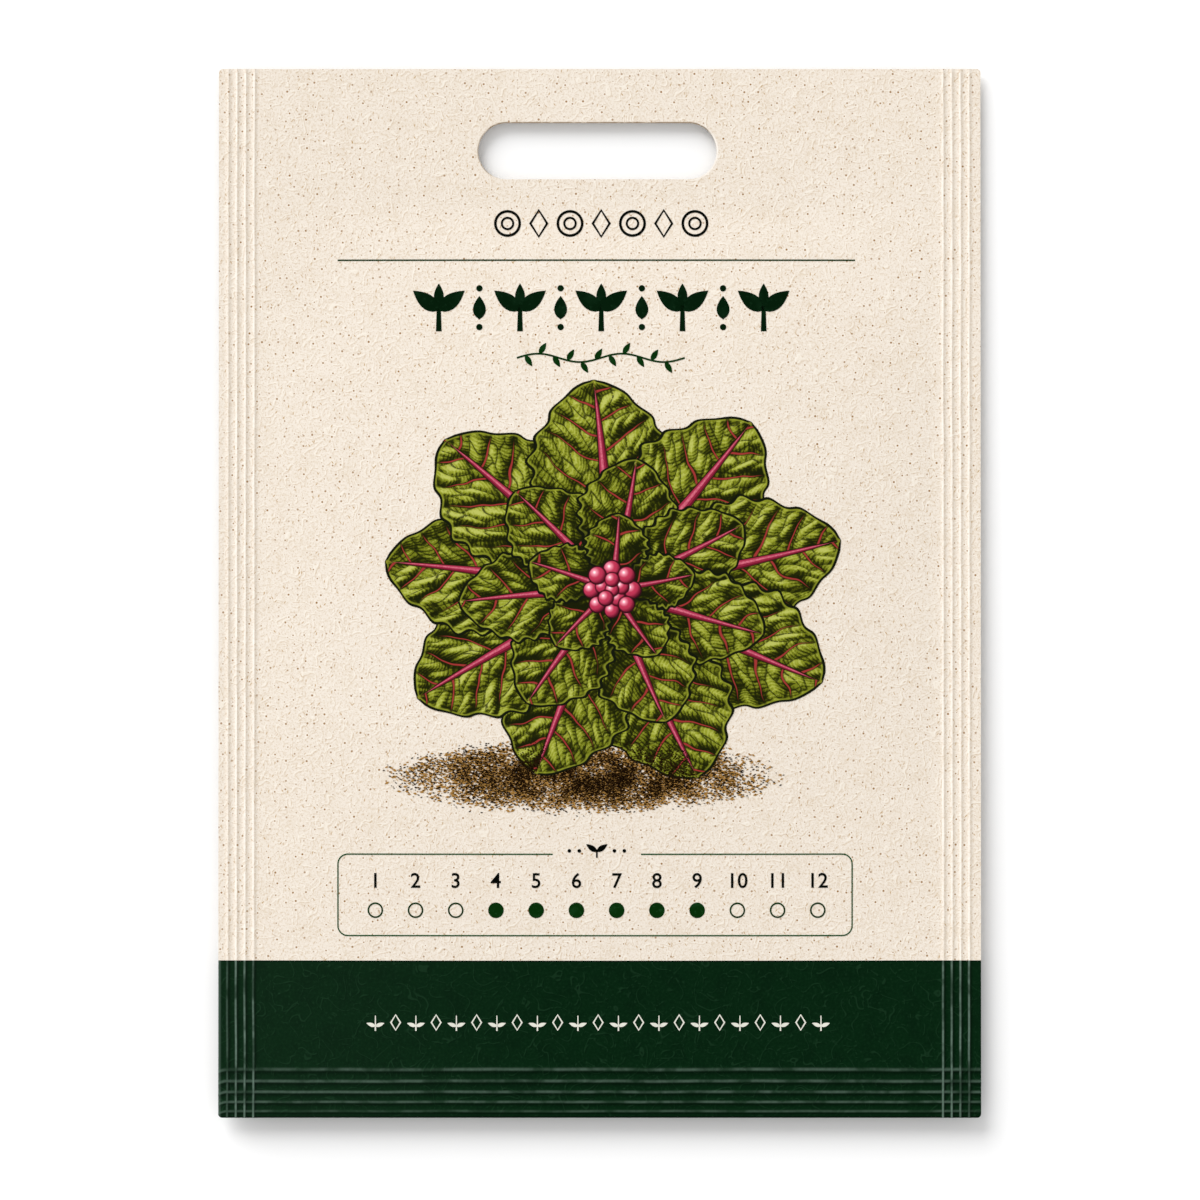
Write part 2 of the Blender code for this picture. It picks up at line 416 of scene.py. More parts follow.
def settle(obj: bpy.types.Object, slot: str, *replaced: str, sharp_angle: float = 30.0) -> bpy.types.Object:
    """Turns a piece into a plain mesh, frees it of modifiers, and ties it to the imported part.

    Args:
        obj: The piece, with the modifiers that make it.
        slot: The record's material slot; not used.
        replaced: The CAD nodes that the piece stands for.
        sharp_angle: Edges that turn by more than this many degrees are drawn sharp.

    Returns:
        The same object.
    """
    mesh = to_mesh(obj)
    flat = obj.data
    obj.modifiers.clear()
    obj.data = mesh
    bpy.data.meshes.remove(flat)
    mesh.name = obj.name
    mesh.shade_smooth()
    mesh.set_sharp_from_angle(angle=math.radians(sharp_angle))
    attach(obj, ROOT)
    if replaced:
        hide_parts(*replaced)
    LOG.info("%s: %d faces", obj.name, len(mesh.polygons))
    return obj


def new_finish(name: str) -> tuple[Any, Any, Any]:
    """Starts a material.

    Args:
        name: The material's name.

    Returns:
        The material, its node tree, and its Principled shader.
    """
    material = bpy.data.materials.new(name)
    material.use_nodes = True
    return material, material.node_tree, material.node_tree.nodes["Principled BSDF"]


def coat(tree: Any, shader: Any, colour: Any, roughness: float, specular: float, relief: Any = None,
         depth: float = 0.0) -> None:
    """Gives a shader its colour, its gloss and its fine relief.

    Args:
        tree: The material's node tree.
        shader: Its Principled shader.
        colour: The socket that holds the colour.
        roughness: The shader's roughness.
        specular: The shader's specular level.
        relief: The relief from 0 to 1, where there is one.
        depth: The relief's full depth.
    """
    tree.links.new(colour, shader.inputs["Base Color"])
    shader.inputs["Roughness"].default_value = roughness
    shader.inputs["Specular IOR Level"].default_value = specular
    if relief is not None:
        bump = add_node(tree, "ShaderNodeBump", {"Height": relief, "Distance": depth})
        tree.links.new(bump.outputs[0], shader.inputs["Normal"])


def read_attributes(tree: Any, *names: str) -> dict[str, Any]:
    """Reads numbers that the piece carries, by name."""
    return {name: add_node(tree, "ShaderNodeAttribute", attribute_name=name).outputs["Fac"] for name in names}


def flat_place(tree: Any, turn: float = 0.0, stretch: float = 1.0) -> Any:
    """Gives the place on the packet in millimetres, seen from the front.

    Args:
        tree: The material's node tree.
        turn: Turn about the packet's depth, in degrees.
        stretch: How many times longer than wide the pattern read from it is.

    Returns:
        The node that holds the place.
    """
    turned = add_node(tree, "ShaderNodeMapping", {
        "Vector": add_node(tree, "ShaderNodeTexCoord").outputs["Object"],
        "Rotation": (0, 0, math.radians(turn)),
        "Scale": (1.0, 1.0, 0.0),
    })
    return add_node(tree, "ShaderNodeMapping", {"Vector": turned, "Scale": (1 / MM / stretch, 1 / MM, 0.0)})


def texture(tree: Any, kind: str, place: Any, scale: float, output: str, feature: str = "",
            **settings: Any) -> Any:
    """Reads a flat texture whose features are 1/scale millimetres apart.

    Args:
        tree: The material's node tree.
        kind: Noise or Voronoi.
        place: The place in millimetres.
        scale: Features per millimetre.
        output: Name of the output to give.
        feature: What a Voronoi texture measures, where that isn't the way to the nearest point.
        settings: Further socket values by name.

    Returns:
        The output.
    """
    extra = {f"{kind.lower()}_dimensions": "2D"}
    if feature:
        extra["feature"] = feature
    node = add_node(tree, f"ShaderNodeTex{kind}", {"Vector": place, "Scale": scale, **settings}, **extra)
    return node.outputs[output]


def scatter(tree: Any, place: Any, per_mm: float) -> dict[str, Any]:
    """Scatters one spot to each cell of the paper.

    Args:
        tree: The material's node tree.
        place: The place in millimetres.
        per_mm: Cells per millimetre.

    Returns:
        The way to the nearest spot (away, in cells) and three numbers drawn for it (pick, size, depth).
    """
    cells = add_node(tree, "ShaderNodeTexVoronoi", {"Vector": place, "Scale": per_mm}, voronoi_dimensions="2D")
    draw = add_node(tree, "ShaderNodeSeparateColor", {0: cells.outputs["Color"]})
    return {"away": cells.outputs["Distance"], "per": per_mm, **dict(zip(("pick", "size", "depth"), draw.outputs))}


def rib_masks(tree: Any, foot_wear: float) -> tuple[Any, Any]:
    """Builds the masks of the ribs' pale lines and of their painted shade, from the rib counts that the webs carry.

    Args:
        tree: The material's node tree.
        foot_wear: How strongly the foot's ribs get their pale lines, part wear and part painted highlight, beside
            the side ribs.

    Returns:
        The pale line beside each crest, part wear and part painted highlight on the flank that faces the light, and
        the painted shade on the flank behind it.
    """
    names = {
        **read_attributes(tree, "side_turn", "foot_turn"),
        "blotch": texture(tree, "Noise", flat_place(tree), 0.3, "Fac", Detail=3.0),
        "nick": texture(tree, "Noise", flat_place(tree), 1.8, "Fac", Detail=2.0),
        "foot_wear": foot_wear,
        "split": COUNT_SPLIT,
        "right_offset": RIGHT_OFFSET,
        "rise": RIGHT_OFFSET - LEFT_OFFSET - SIDE_RIBS + 1,
        "outermost": -LEFT_OFFSET - 0.5,
        "last_side": SIDE_RIBS - 1,
        "last_foot": FOOT_RIBS - 1,
    }
    # Each pale line sits on the flank that faces the light: part wear, part painted highlight. The flank behind it
    # gets painted shade, deepest where side and foot ribs cross.
    work_out(tree, names, {
        "left": "more(side_turn, split)",
        "first": "rise * left - right_offset",
        "side": "2 * (side_turn - min(max(floor(side_turn + 0.5), first), first + last_side))",
        "foot": "2 * (foot_turn - min(max(floor(foot_turn + 0.5), 0), last_foot))",
        "wear": "(0.25 + 0.75 * smooth(blotch, 0.34, 0.62)) * (0.7 + 0.6 * nick)",
        "side_line": "smooth(abs(side - 0.16), 0.34, 0.08) * wear * (1 - 0.65 * left * more(side_turn, outermost))",
        "foot_line": "smooth(abs(foot - 0.2), 0.42, 0.02) * wear * foot_wear * (1 - 0.3 * less(foot_turn, 0.5))",
        "side_flank": "smooth(0 - side, 0.02, 0.14) * smooth(0 - side, 0.9, 0.15)",
        "foot_flank": "smooth(0 - foot, 0.02, 0.14) * smooth(0 - foot, 0.9, 0.15)",
        "burnished": "0.6 * max(side_flank, foot_flank) + 0.4 * side_flank * foot_flank",
        "rubbed": "max(side_line, foot_line)",
    })
    return names["rubbed"], names["burnished"]


def slot_edge(tree: Any) -> tuple[Any, Any]:
    """Builds the masks of the hang slot's punched rim: a brown cut edge with painted shade above and at the left,
    and a painted highlight at the right.
    """
    axes = add_node(tree, "ShaderNodeSeparateXYZ", {0: flat_place(tree)})
    names = {"x": axes.outputs["X"], "y": axes.outputs["Y"], "cx": SLOT_CENTRE[0], "cy": SLOT_CENTRE[1],
             "reach": (SLOT_SIZE[0] - SLOT_SIZE[1]) / 2, "radius": SLOT_SIZE[1] / 2,
             "nick": texture(tree, "Noise", flat_place(tree), 1.3, "Fac", Detail=3.0)}
    names["off"] = formula(tree, "sqrt(max(abs(x - cx) - reach, 0) ** 2 + (y - cy) ** 2) - radius", **names)
    brown = formula(tree, "smooth(off, 0.14 + 0.12 * nick, 0.04) * max(smooth(y - cy, 1.5, 3.4),"
                          " 0.7 * smooth(cx - x, reach + 1, reach + 3)) * (0.6 + 0.4 * smooth(nick, 0.35, 0.5))", **names)
    pale = formula(tree, "smooth(off, 0.3, 0.1) * smooth(x - cx, reach + 0.5, reach + 2.5)", **names)
    return brown, pale


@dataclass(frozen=True)
class PaperFinish:
    """Uncoated paper with bran flecks, made on a wire: matt, cloudy, with loose fibres in its surface, and painted
    highlight and shade beside the fibres, on the ribs and at the slot's rim.
    """

    name: str = "uncoated_flecked_paper"
    base: str = "DFD5C8"
    pale_cloud: str = "E4DBCF"
    warm_cloud: str = "D1C2AD"
    fibre: str = "B89F80"
    # Painted highlight on the fibres' lit side.
    fibre_highlight: str = "EAE3D7"
    dash: str = "A67F3E"
    fleck: str = "8A6028"
    ring: str = "E9E1D5"
    # Part wear, part painted highlight: the pale lines beside the rib crests, and the painted highlight on the
    # slot's right rim.
    rubbed: str = "EEE8E0"
    # Painted shade on the ribs' flanks that face away from the light.
    burnished: str = "AD9779"
    # The slot's brown cut edge, darkened with painted shade above and at the left.
    brown_edge_and_shade: str = "6B5232"
    fibre_width: float = 0.13
    fibre_meshes: float = 0.62
    fibre_curl: float = 3.6
    # Moves the pale copy of the fibres up and to the left, where it stands for their lit side as a painted
    # highlight.
    fibre_highlight_shift: float = -0.15
    fleck_radius: float = 0.09
    fleck_share: float = 0.66
    flecks_per_mm: float = 0.82
    dashes_per_mm: float = 0.9
    dash_turns: tuple[float, ...] = (55.0, -50.0, 100.0)
    dash_stretch: float = 3.2
    roughness: float = 0.85
    specular: float = 0.25
    tooth: float = 0.012 * MM

    def flecks(self, tree: Any) -> tuple[Any, Any]:
        """Builds the masks of the flecks and of the pale ring that the press squeezes up round each one."""
        names = {**scatter(tree, flat_place(tree), self.flecks_per_mm), "r": self.fleck_radius,
                 "share": self.fleck_share}
        names["off"] = formula(tree, "away / per - r * (0.5 + size)", **names)
        fleck = formula(tree, "smooth(off, 0.07, 0 - 0.05) * less(pick, share) * (0.58 + 0.42 * depth)", **names)
        ring = formula(tree, "smooth(off, 0.2, 0.08) * less(pick, share) * depth * 0.6", **names)
        return fleck, ring

    def dashes(self, tree: Any, turn: float) -> Any:
        """Builds the mask of short bran slivers that lie one way."""
        place = flat_place(tree, turn=turn, stretch=self.dash_stretch)
        names = scatter(tree, place, self.dashes_per_mm)
        return formula(tree, "smooth(away / per, 0.1, 0.02) * less(pick, 0.48) * (0.27 + 0.63 * size)", **names)

    def fibres(self, tree: Any, meshes: float, curl: float, shift: float) -> Any:
        """Builds the mask of curly fibres: pieces of a bent net whose threads are all equally thin.

        Args:
            tree: The material's node tree.
            meshes: Meshes of the net per millimetre.
            curl: How far the net is bent, in millimetres.
            shift: How far the net is moved down and to the right, in millimetres.

        Returns:
            The mask.
        """
        place = add_node(tree, "ShaderNodeVectorMath", {0: flat_place(tree), 1: (-shift, shift, 0)})
        swirl = texture(tree, "Noise", place, 0.85 * meshes, "Color", Detail=0.0)
        bent = add_node(tree, "ShaderNodeVectorMath", {0: swirl, 1: (curl, curl, 0), 2: place},
                        operation="MULTIPLY_ADD")
        net = texture(tree, "Voronoi", bent, meshes, "Distance", feature="DISTANCE_TO_EDGE")
        gate = texture(tree, "Noise", bent, 1.1, "Fac", Detail=1.0)
        return formula(tree, "smooth(net / meshes, width, 0.25 * width) * smooth(gate, 0.44, 0.56)",
                       net=net, gate=gate, meshes=meshes, width=self.fibre_width)

    def clouds(self, tree: Any) -> dict[str, Any]:
        """Builds the soft light and dark patches, from a hand's breadth (broad) down to the grain."""
        place = flat_place(tree)
        return {
            "cloud": texture(tree, "Noise", place, 0.35, "Fac", Detail=3.0),
            "grain": texture(tree, "Noise", place, 2.6, "Fac", Detail=2.0),
            "broad": texture(tree, "Noise", place, 0.04, "Fac", Detail=1.0),
        }

    def material(self) -> bpy.types.Material:
        """Makes the bare paper."""
        material, tree, shader = new_finish(self.name)
        names = self.clouds(tree)
        names["tooth"] = texture(tree, "Noise", flat_place(tree), 4.5, "Fac", Detail=2.0)
        names["brown_rim"], names["pale_rim"] = slot_edge(tree)
        names["fleck"], ring = self.flecks(tree)
        names["dark"] = self.fibres(tree, self.fibre_meshes, self.fibre_curl, 0.0)
        # A pale copy of the fibres, moved up and to the left, is painted highlight on their lit side.
        names["pale"] = self.fibres(tree, self.fibre_meshes, self.fibre_curl, self.fibre_highlight_shift)
        names["rubbed"], names["burnished"] = rib_masks(tree, 1.0)
        colour = lay_colours(tree, self.base, [
            ("smooth(cloud, 0.5, 0.8) * 0.35", self.pale_cloud),
            ("smooth(cloud, 0.52, 0.2) * 0.3 + smooth(grain, 0.5, 0.25) * 0.6", self.warm_cloud),
            ("smooth(grain, 0.5, 0.75) * 0.6 + smooth(broad, 0.5, 0.7) * 0.2", self.pale_cloud),
            ("smooth(tooth, 0.48, 0.25) * 0.5", self.fibre),
            ("dark * 0.4", self.fibre),
            # Painted highlight beside each fibre.
            ("pale * 0.7", self.fibre_highlight),
            *[(self.dashes(tree, turn), self.dash) for turn in self.dash_turns],
            (ring, self.ring),
            (names["fleck"], self.fleck),
            # Pale lines beside the rib crests, part wear and part painted highlight, then painted shade on the
            # flanks behind them.
            ("rubbed * 0.6", self.rubbed),
            ("burnished * 0.36", self.burnished),
            # Painted highlight on the slot's right rim; the brown cut edge with painted shade above and at the left.
            ("pale_rim * 0.8", self.rubbed),
            ("brown_rim * 0.9", self.brown_edge_and_shade),
        ], **names)
        relief = formula(tree, "0.5 + 0.35 * (grain - 0.5) + 0.2 * pale - 0.15 * dark - 0.4 * fleck", **names)
        coat(tree, shader, colour, self.roughness, self.specular, relief, self.tooth)
        return material


@dataclass(frozen=True)
class BandFinish:
    """Solid flexographic ink over the flecked paper: dark and matt, pale beside the ribs' crests with wear and
    painted highlight, with painted shade on the flanks behind, beside the fibres and a painted highlight and sheen
    at the left.
    """

    paper: PaperFinish
    name: str = "solid_green_flexo_ink"
    ink: str = "05200D"
    # Deep ink in the darker patches, and the painted shade beside the fibres.
    deep_ink_and_shade: str = "031709"
    fibre_ink: str = "17341F"
    # Part wear, part painted highlight beside the rib crests; also the painted highlight along the left edge and a
    # faint painted sheen over the left half.
    worn_and_lit_ink: str = "5C7064"
    # A dark line along the band's top edge and darker towards the bottom edge; also the painted shade on the ribs'
    # flanks away from the light.
    dark_lines_and_shade: str = "020C05"
    squeeze_width: float = 0.16
    band_top: float = -48.18
    foot: float = -68.8
    side: float = 50.0
    fibre_meshes: float = 0.4
    fibre_curl: float = 5.5
    fibre_shade: float = 0.15
    # How strongly the foot's ribs get their pale lines, part wear and part painted highlight.
    foot_wear: float = 0.46
    roughness: float = 0.55
    specular: float = 0.015

    def material(self) -> bpy.types.Material:
        """Makes the inked paper."""
        material, tree, shader = new_finish(self.name)
        names = {**self.paper.clouds(tree), "top": self.band_top, "width": self.squeeze_width, "foot": self.foot,
                 "left": self.side}
        names["fibre"] = self.paper.fibres(tree, self.fibre_meshes, self.fibre_curl, 0.0)
        names["shade"] = self.paper.fibres(tree, self.fibre_meshes, self.fibre_curl, self.fibre_shade)
        names["fleck"], _ = self.paper.flecks(tree)
        names["rubbed"], names["burnished"] = rib_masks(tree, self.foot_wear)
        axes = add_node(tree, "ShaderNodeSeparateXYZ", {0: flat_place(tree)})
        names.update(x=axes.outputs["X"], y=axes.outputs["Y"])
        colour = lay_colours(tree, self.ink, [
            ("smooth(cloud, 0.55, 0.3) * 0.35", self.deep_ink_and_shade),
            ("smooth(grain, 0.5, 0.25) * 0.35", self.deep_ink_and_shade),
            ("smooth(grain, 0.5, 0.75) * 0.15", self.fibre_ink),
            ("shade * 0.5", self.deep_ink_and_shade),
            ("min(fibre * 0.55 + fleck * 0.3, 1)", self.fibre_ink),
            # A dark line along the band's top edge, and darker towards the packet's bottom edge.
            ("0.8 * max(smooth(abs(y - top + 0.5 * width), width, 0), smooth(y - foot, 0.3, 0.12))", self.dark_lines_and_shade),
            # Painted shade on the ribs' flanks away from the light, then the pale lines beside the crests, part wear
            # and part painted highlight.
            ("burnished * 0.9", self.dark_lines_and_shade),
            ("rubbed * 0.8", self.worn_and_lit_ink),
            # Painted highlight along the band's left edge and a faint painted sheen over its left half.
            ("smooth(x + left, 0.45, 0.1) * 0.4 + smooth(0 - x, 0, 45) * 0.016", self.worn_and_lit_ink),
        ], **names)
        relief = formula(tree, "0.5 + 0.4 * (grain - 0.5) + 0.2 * fibre", **names)
        coat(tree, shader, colour, self.roughness, self.specular, relief, self.paper.tooth)
        return material


@dataclass(frozen=True)
class CutEdgeFinish:
    """The die-cut edge of two bonded webs: short raw fibre ends, a little browner than the face."""

    name: str = "die_cut_paper_edge"
    core: str = "D9C4A4"
    singed: str = "9C7E58"
    naps_per_mm: float = 3.0
    roughness: float = 0.9
    specular: float = 0.2
    nap: float = 0.02 * MM

    def material(self) -> bpy.types.Material:
        """Makes the edge."""
        material, tree, shader = new_finish(self.name)
        place = add_node(tree, "ShaderNodeTexCoord").outputs["Object"]
        nap = add_node(tree, "ShaderNodeTexNoise", {"Vector": place, "Scale": self.naps_per_mm / MM, "Detail": 2.0})
        colour = lay_colours(tree, self.core, [("smooth(nap, 0.4, 0.7)", self.singed)], nap=nap)
        coat(tree, shader, colour, self.roughness, self.specular, nap, self.nap)
        return material


@dataclass(frozen=True)
class InkFinish:
    """Line ink on rough paper: a thin matt coat that skips the deepest pits of the tooth."""

    name: str
    ink: str
    thin_ink: str
    skip: float = 0.35
    roughness: float = 0.6
    specular: float = 0.02
    relief: float = 0.006 * MM

    def material(self) -> bpy.types.Material:
        """Makes the ink."""
        material, tree, shader = new_finish(self.name)
        place = flat_place(tree)
        film = texture(tree, "Noise", place, 2.2, "Fac", Detail=3.0)
        broad = texture(tree, "Noise", place, 0.5, "Fac", Detail=1.0)
        thin = "smooth(film, 0.56, 0.78) * skip + smooth(broad, 0.5, 0.75) * skip * 0.5"
        colour = lay_colours(tree, self.ink, [(thin, self.thin_ink)], film=film, broad=broad, skip=self.skip)
        coat(tree, shader, colour, self.roughness, self.specular, film, self.relief)
        return material


@dataclass(frozen=True)
class LeafInkFinish:
    """Leaves printed in the manner of an engraving: puckered olive blades with dark nets and crimson ribs.

    The tints are worked out from a made-up relief that is lit from the picture's upper left, whichever way the
    leaf points, and a fine grain breaks them up as an engraver's stipple does.
    """

    name: str = "engraved_leaf_inks"
    outline: str = "0E1206"
    darkest: str = "141802"
    dark: str = "383C04"
    mid: str = "6A7116"
    light: str = "8D942A"
    glint: str = "AFB45A"
    margin: str = "8B922A"
    rib_dark: str = "640F23"
    rib: str = "9C2844"
    rib_light: str = "C9677A"
    vein: str = "94302E"
    outline_width: float = 0.3
    margin_width: float = 0.5
    vein_gap: float = 3.7
    vein_slope: float = 0.55
    vein_bow: float = 0.055
    relief_step: float = 0.22
    hatch_gap: float = 0.56
    light_from: float = math.radians(121.0)
    cell_randomness: float = 0.85
    roughness: float = 0.65
    specular: float = 0.03

    def names(self, tree: Any) -> dict[str, Any]:
        """Reads what the leaves carry, and works out the lengths that every mask needs."""
        names = read_attributes(tree, "along", "across", "half_width", "slant", "leaf_length", "tone", "turn")
        names.update(gap=self.vein_gap, slope=self.vein_slope, bow=self.vein_bow, outline=self.outline_width,
                     margin=self.margin_width, light_from=self.light_from, hatch_gap=self.hatch_gap)
        names["waver"] = texture(tree, "Noise", flat_place(tree), 0.22, "Fac", Detail=1.0)
        names["grain"] = texture(tree, "Noise", flat_place(tree), 3.6, "Fac", Detail=2.0)
        work_out(tree, names, {
            "side": "abs(across)",
            "edge": "(1 - side) * half_width * slant",
            "from_rib": "side * half_width",
            "rib_half": "(0.042 * leaf_length * (1 - along) ** 1.2 + 0.06) * smooth(along, 0.97, 0.85)",
            "light_u": "cos(light_from - turn)",
            "light_v": "sin(light_from - turn)",
        })
        return names

    def blade(self, tree: Any, names: dict[str, Any], step: float) -> dict[str, Any]:
        """Builds the blade's made-up relief, read at a spot moved towards the light.

        Args:
            tree: The material's node tree.
            names: What names() gave.
            step: How far the spot is moved, in millimetres.

        Returns:
            The count of side veins passed (flow), the cells' place, and the height from 0 to 1.
        """
        spot = {**names, "step": step}
        work_out(tree, spot, {
            "u": "along * leaf_length + step * light_u",
            "v": "across * half_width + step * light_v",
            "flow": "(u - slope * abs(v) - bow * v ** 2) / gap + 0.45 * more(v, 0) + 3 * tone"
                    " + 0.5 * (waver - 0.5)",
            "cell_x": "1.75 * flow + 30 * tone",
            "cell_y": "0.62 * abs(v) + 0.25 * sin(6.283 * flow) + 7 * more(v, 0)",
        })
        place = add_node(tree, "ShaderNodeCombineXYZ", {"X": spot["cell_x"], "Y": spot["cell_y"]})
        swell = texture(tree, "Voronoi", place, 1.0, "Distance", feature="SMOOTH_F1", Smoothness=0.3,
                        Randomness=self.cell_randomness)
        height = formula(tree, "0.5 * sqrt(0.5 - 0.5 * cos(6.283 * flow)) * smooth(abs(v), 0, 1.2)"
                               " + 0.75 * (0.7 - swell)", swell=swell, **spot)
        return {"flow": spot["flow"], "place": place, "height": height}

    def tint(self, tree: Any, names: dict[str, Any]) -> Any:
        """Builds the light and dark of the blade, from 0 in the folds to 1 on the lit swells."""
        toward, away = (self.blade(tree, names, side * self.relief_step)["height"] for side in (1, -1))
        return formula(tree, "0.42 + 1.1 * (away - toward) + 0.3 * (away + toward - 0.7) + 0.2 * (tone - 0.5)"
                             " + 0.3 * (waver - 0.5) + 0.5 * (grain - 0.5)"
                             " - 0.42 * smooth(along, 0.6, 0.2)"
                             " - 0.3 * smooth(0 - across, 0, 1) * smooth(along, 0.95, 0.5)"
                             " - 0.1 * smooth(edge, 1.6, 0.6)",
                       toward=toward, away=away, **names)

    def material(self) -> bpy.types.Material:
        """Makes the leaf inks."""
        material, tree, shader = new_finish(self.name)
        names = self.names(tree)
        here = self.blade(tree, names, 0.0)
        names.update(tint=self.tint(tree, names), flow=here["flow"], height=here["height"])
        names["net"] = texture(tree, "Voronoi", here["place"], 1.0, "Distance", feature="DISTANCE_TO_EDGE",
                               Randomness=self.cell_randomness)
        work_out(tree, names, {
            "hatch": "abs(2 * fract((slope * along * leaf_length + from_rib) / hatch_gap"
                     " + 1.6 * height + 3 * waver) - 1)",
            "cell": "fract(flow)",
            "from_vein": "min(cell, 1 - cell) * gap * 0.8",
            "over_rib": "across * half_width / rib_half * sign(light_v)",
            "on_rib": "less(from_rib, rib_half)",
        })
        colour = lay_colours(tree, self.mid, [
            ("smooth(tint, 0.5, 0.26)", self.dark),
            ("smooth(tint, 0.55, 0.8)", self.light),
            ("smooth(tint, 0.8, 1.05)", self.glint),
            ("smooth(tint, 0.2, 0 - 0.04)", self.darkest),
            ("smooth(hatch - 1.25 * tint, 0, 0.22) * 0.8", self.darkest),
            ("smooth(hatch + 1.1 * (1 - tint), 0.7, 0.45) * 0.5", self.glint),
            ("smooth(net, 0.105, 0.03) * smooth(grain, 0.3, 0.48) * smooth(side, 1, 0.85) * 0.85", self.darkest),
            ("smooth(edge, margin + 0.12, margin - 0.12) * smooth(along, 0.15, 0.5) * 0.7", self.margin),
            ("smooth(from_vein, 0.3 - 0.1 * side, 0.12) * smooth(side, 0.98, 0.8) * 0.8", self.darkest),
            ("smooth(from_vein, 0.15 - 0.11 * side, 0.07 - 0.07 * side) * smooth(side, 0.85, 0.5)", self.vein),
            ("smooth(from_rib - rib_half, 0.22, 0.06) * smooth(along, 0.98, 0.9)", self.darkest),
            ("smooth(from_rib - rib_half, 0.04, 0 - 0.04)", self.rib),
            ("smooth(abs(over_rib - 0.25), 0.5, 0.1) * on_rib * (0.55 + 0.45 * smooth(grain, 0.4, 0.6))",
             self.rib_light),
            ("smooth(abs(over_rib + 0.25 + 0.3 * (grain - 0.5)), 0.16, 0.04) * on_rib * 0.6", self.rib_dark),
            ("smooth(0 - over_rib, 0.3, 0.8) * on_rib", self.rib_dark),
            ("smooth(edge, outline + 0.05, outline - 0.05)", self.outline),
        ], **names)
        coat(tree, shader, colour, self.roughness, self.specular)
        return material


@dataclass(frozen=True)
class BerryInkFinish:
    """Berries printed like the leaves' ribs: crimson, pink where the light falls, and a dark outline."""

    name: str = "engraved_berry_inks"
    outline: str = "2A0A12"
    deep: str = "6E122A"
    body: str = "B4324F"
    light: str = "E88CA0"
    glint: str = "F8DCDD"
    hatches: float = 9.0
    roughness: float = 0.6
    specular: float = 0.03

    def material(self) -> bpy.types.Material:
        """Makes the berry inks."""
        material, tree, shader = new_finish(self.name)
        names = {**read_attributes(tree, "disc_x", "disc_y"), "hatches": self.hatches}
        work_out(tree, names, {
            "far": "sqrt(disc_x * disc_x + disc_y * disc_y)",
            "shade": "sqrt((disc_x + 0.3) ** 2 + (disc_y - 0.3) ** 2)",
            "hatch": "abs(fract((disc_x - disc_y) * hatches / 2) * 2 - 1)",
        })
        colour = lay_colours(tree, self.body, [
            ("smooth(shade, 0.75, 1.25)", self.deep),
            ("smooth(hatch - 1.5 + shade, 0, 0.3) * 0.8", self.outline),
            ("smooth(shade, 0.6, 0.15)", self.light),
            ("smooth(shade, 0.2, 0.08)", self.glint),
            ("smooth(far, 0.8, 0.9)", self.outline),
        ], **names)
        coat(tree, shader, colour, self.roughness, self.specular)
        return material


@dataclass(frozen=True)
class HuskFinish:
    """Dry corky seed husk: dull brown, pitted and ridged, paler on its high points."""

    name: str = "dry_corky_husk"
    pit: str = "4A3420"
    body: str = "8A6B46"
    high: str = "B79A70"
    lumps_per_mm: float = 1.4
    roughness: float = 0.92
    specular: float = 0.5
    pit_depth: float = 0.15 * MM

    def material(self) -> bpy.types.Material:
        """Makes the husk."""
        material, tree, shader = new_finish(self.name)
        place = add_node(tree, "ShaderNodeTexCoord").outputs["Object"]
        cork = add_node(tree, "ShaderNodeTexNoise", {"Vector": place, "Scale": self.lumps_per_mm / MM,
                                                     "Detail": 4.0})
        colour = lay_colours(tree, self.body, [
            ("smooth(cork, 0.5, 0.3)", self.pit),
            ("smooth(cork, 0.52, 0.75)", self.high),
        ], cork=cork)
        coat(tree, shader, colour, self.roughness, self.specular, cork, self.pit_depth)
        return material


class Face(Enum):
    """Which way a web faces."""

    FRONT = 1.0
    BACK = 0.0


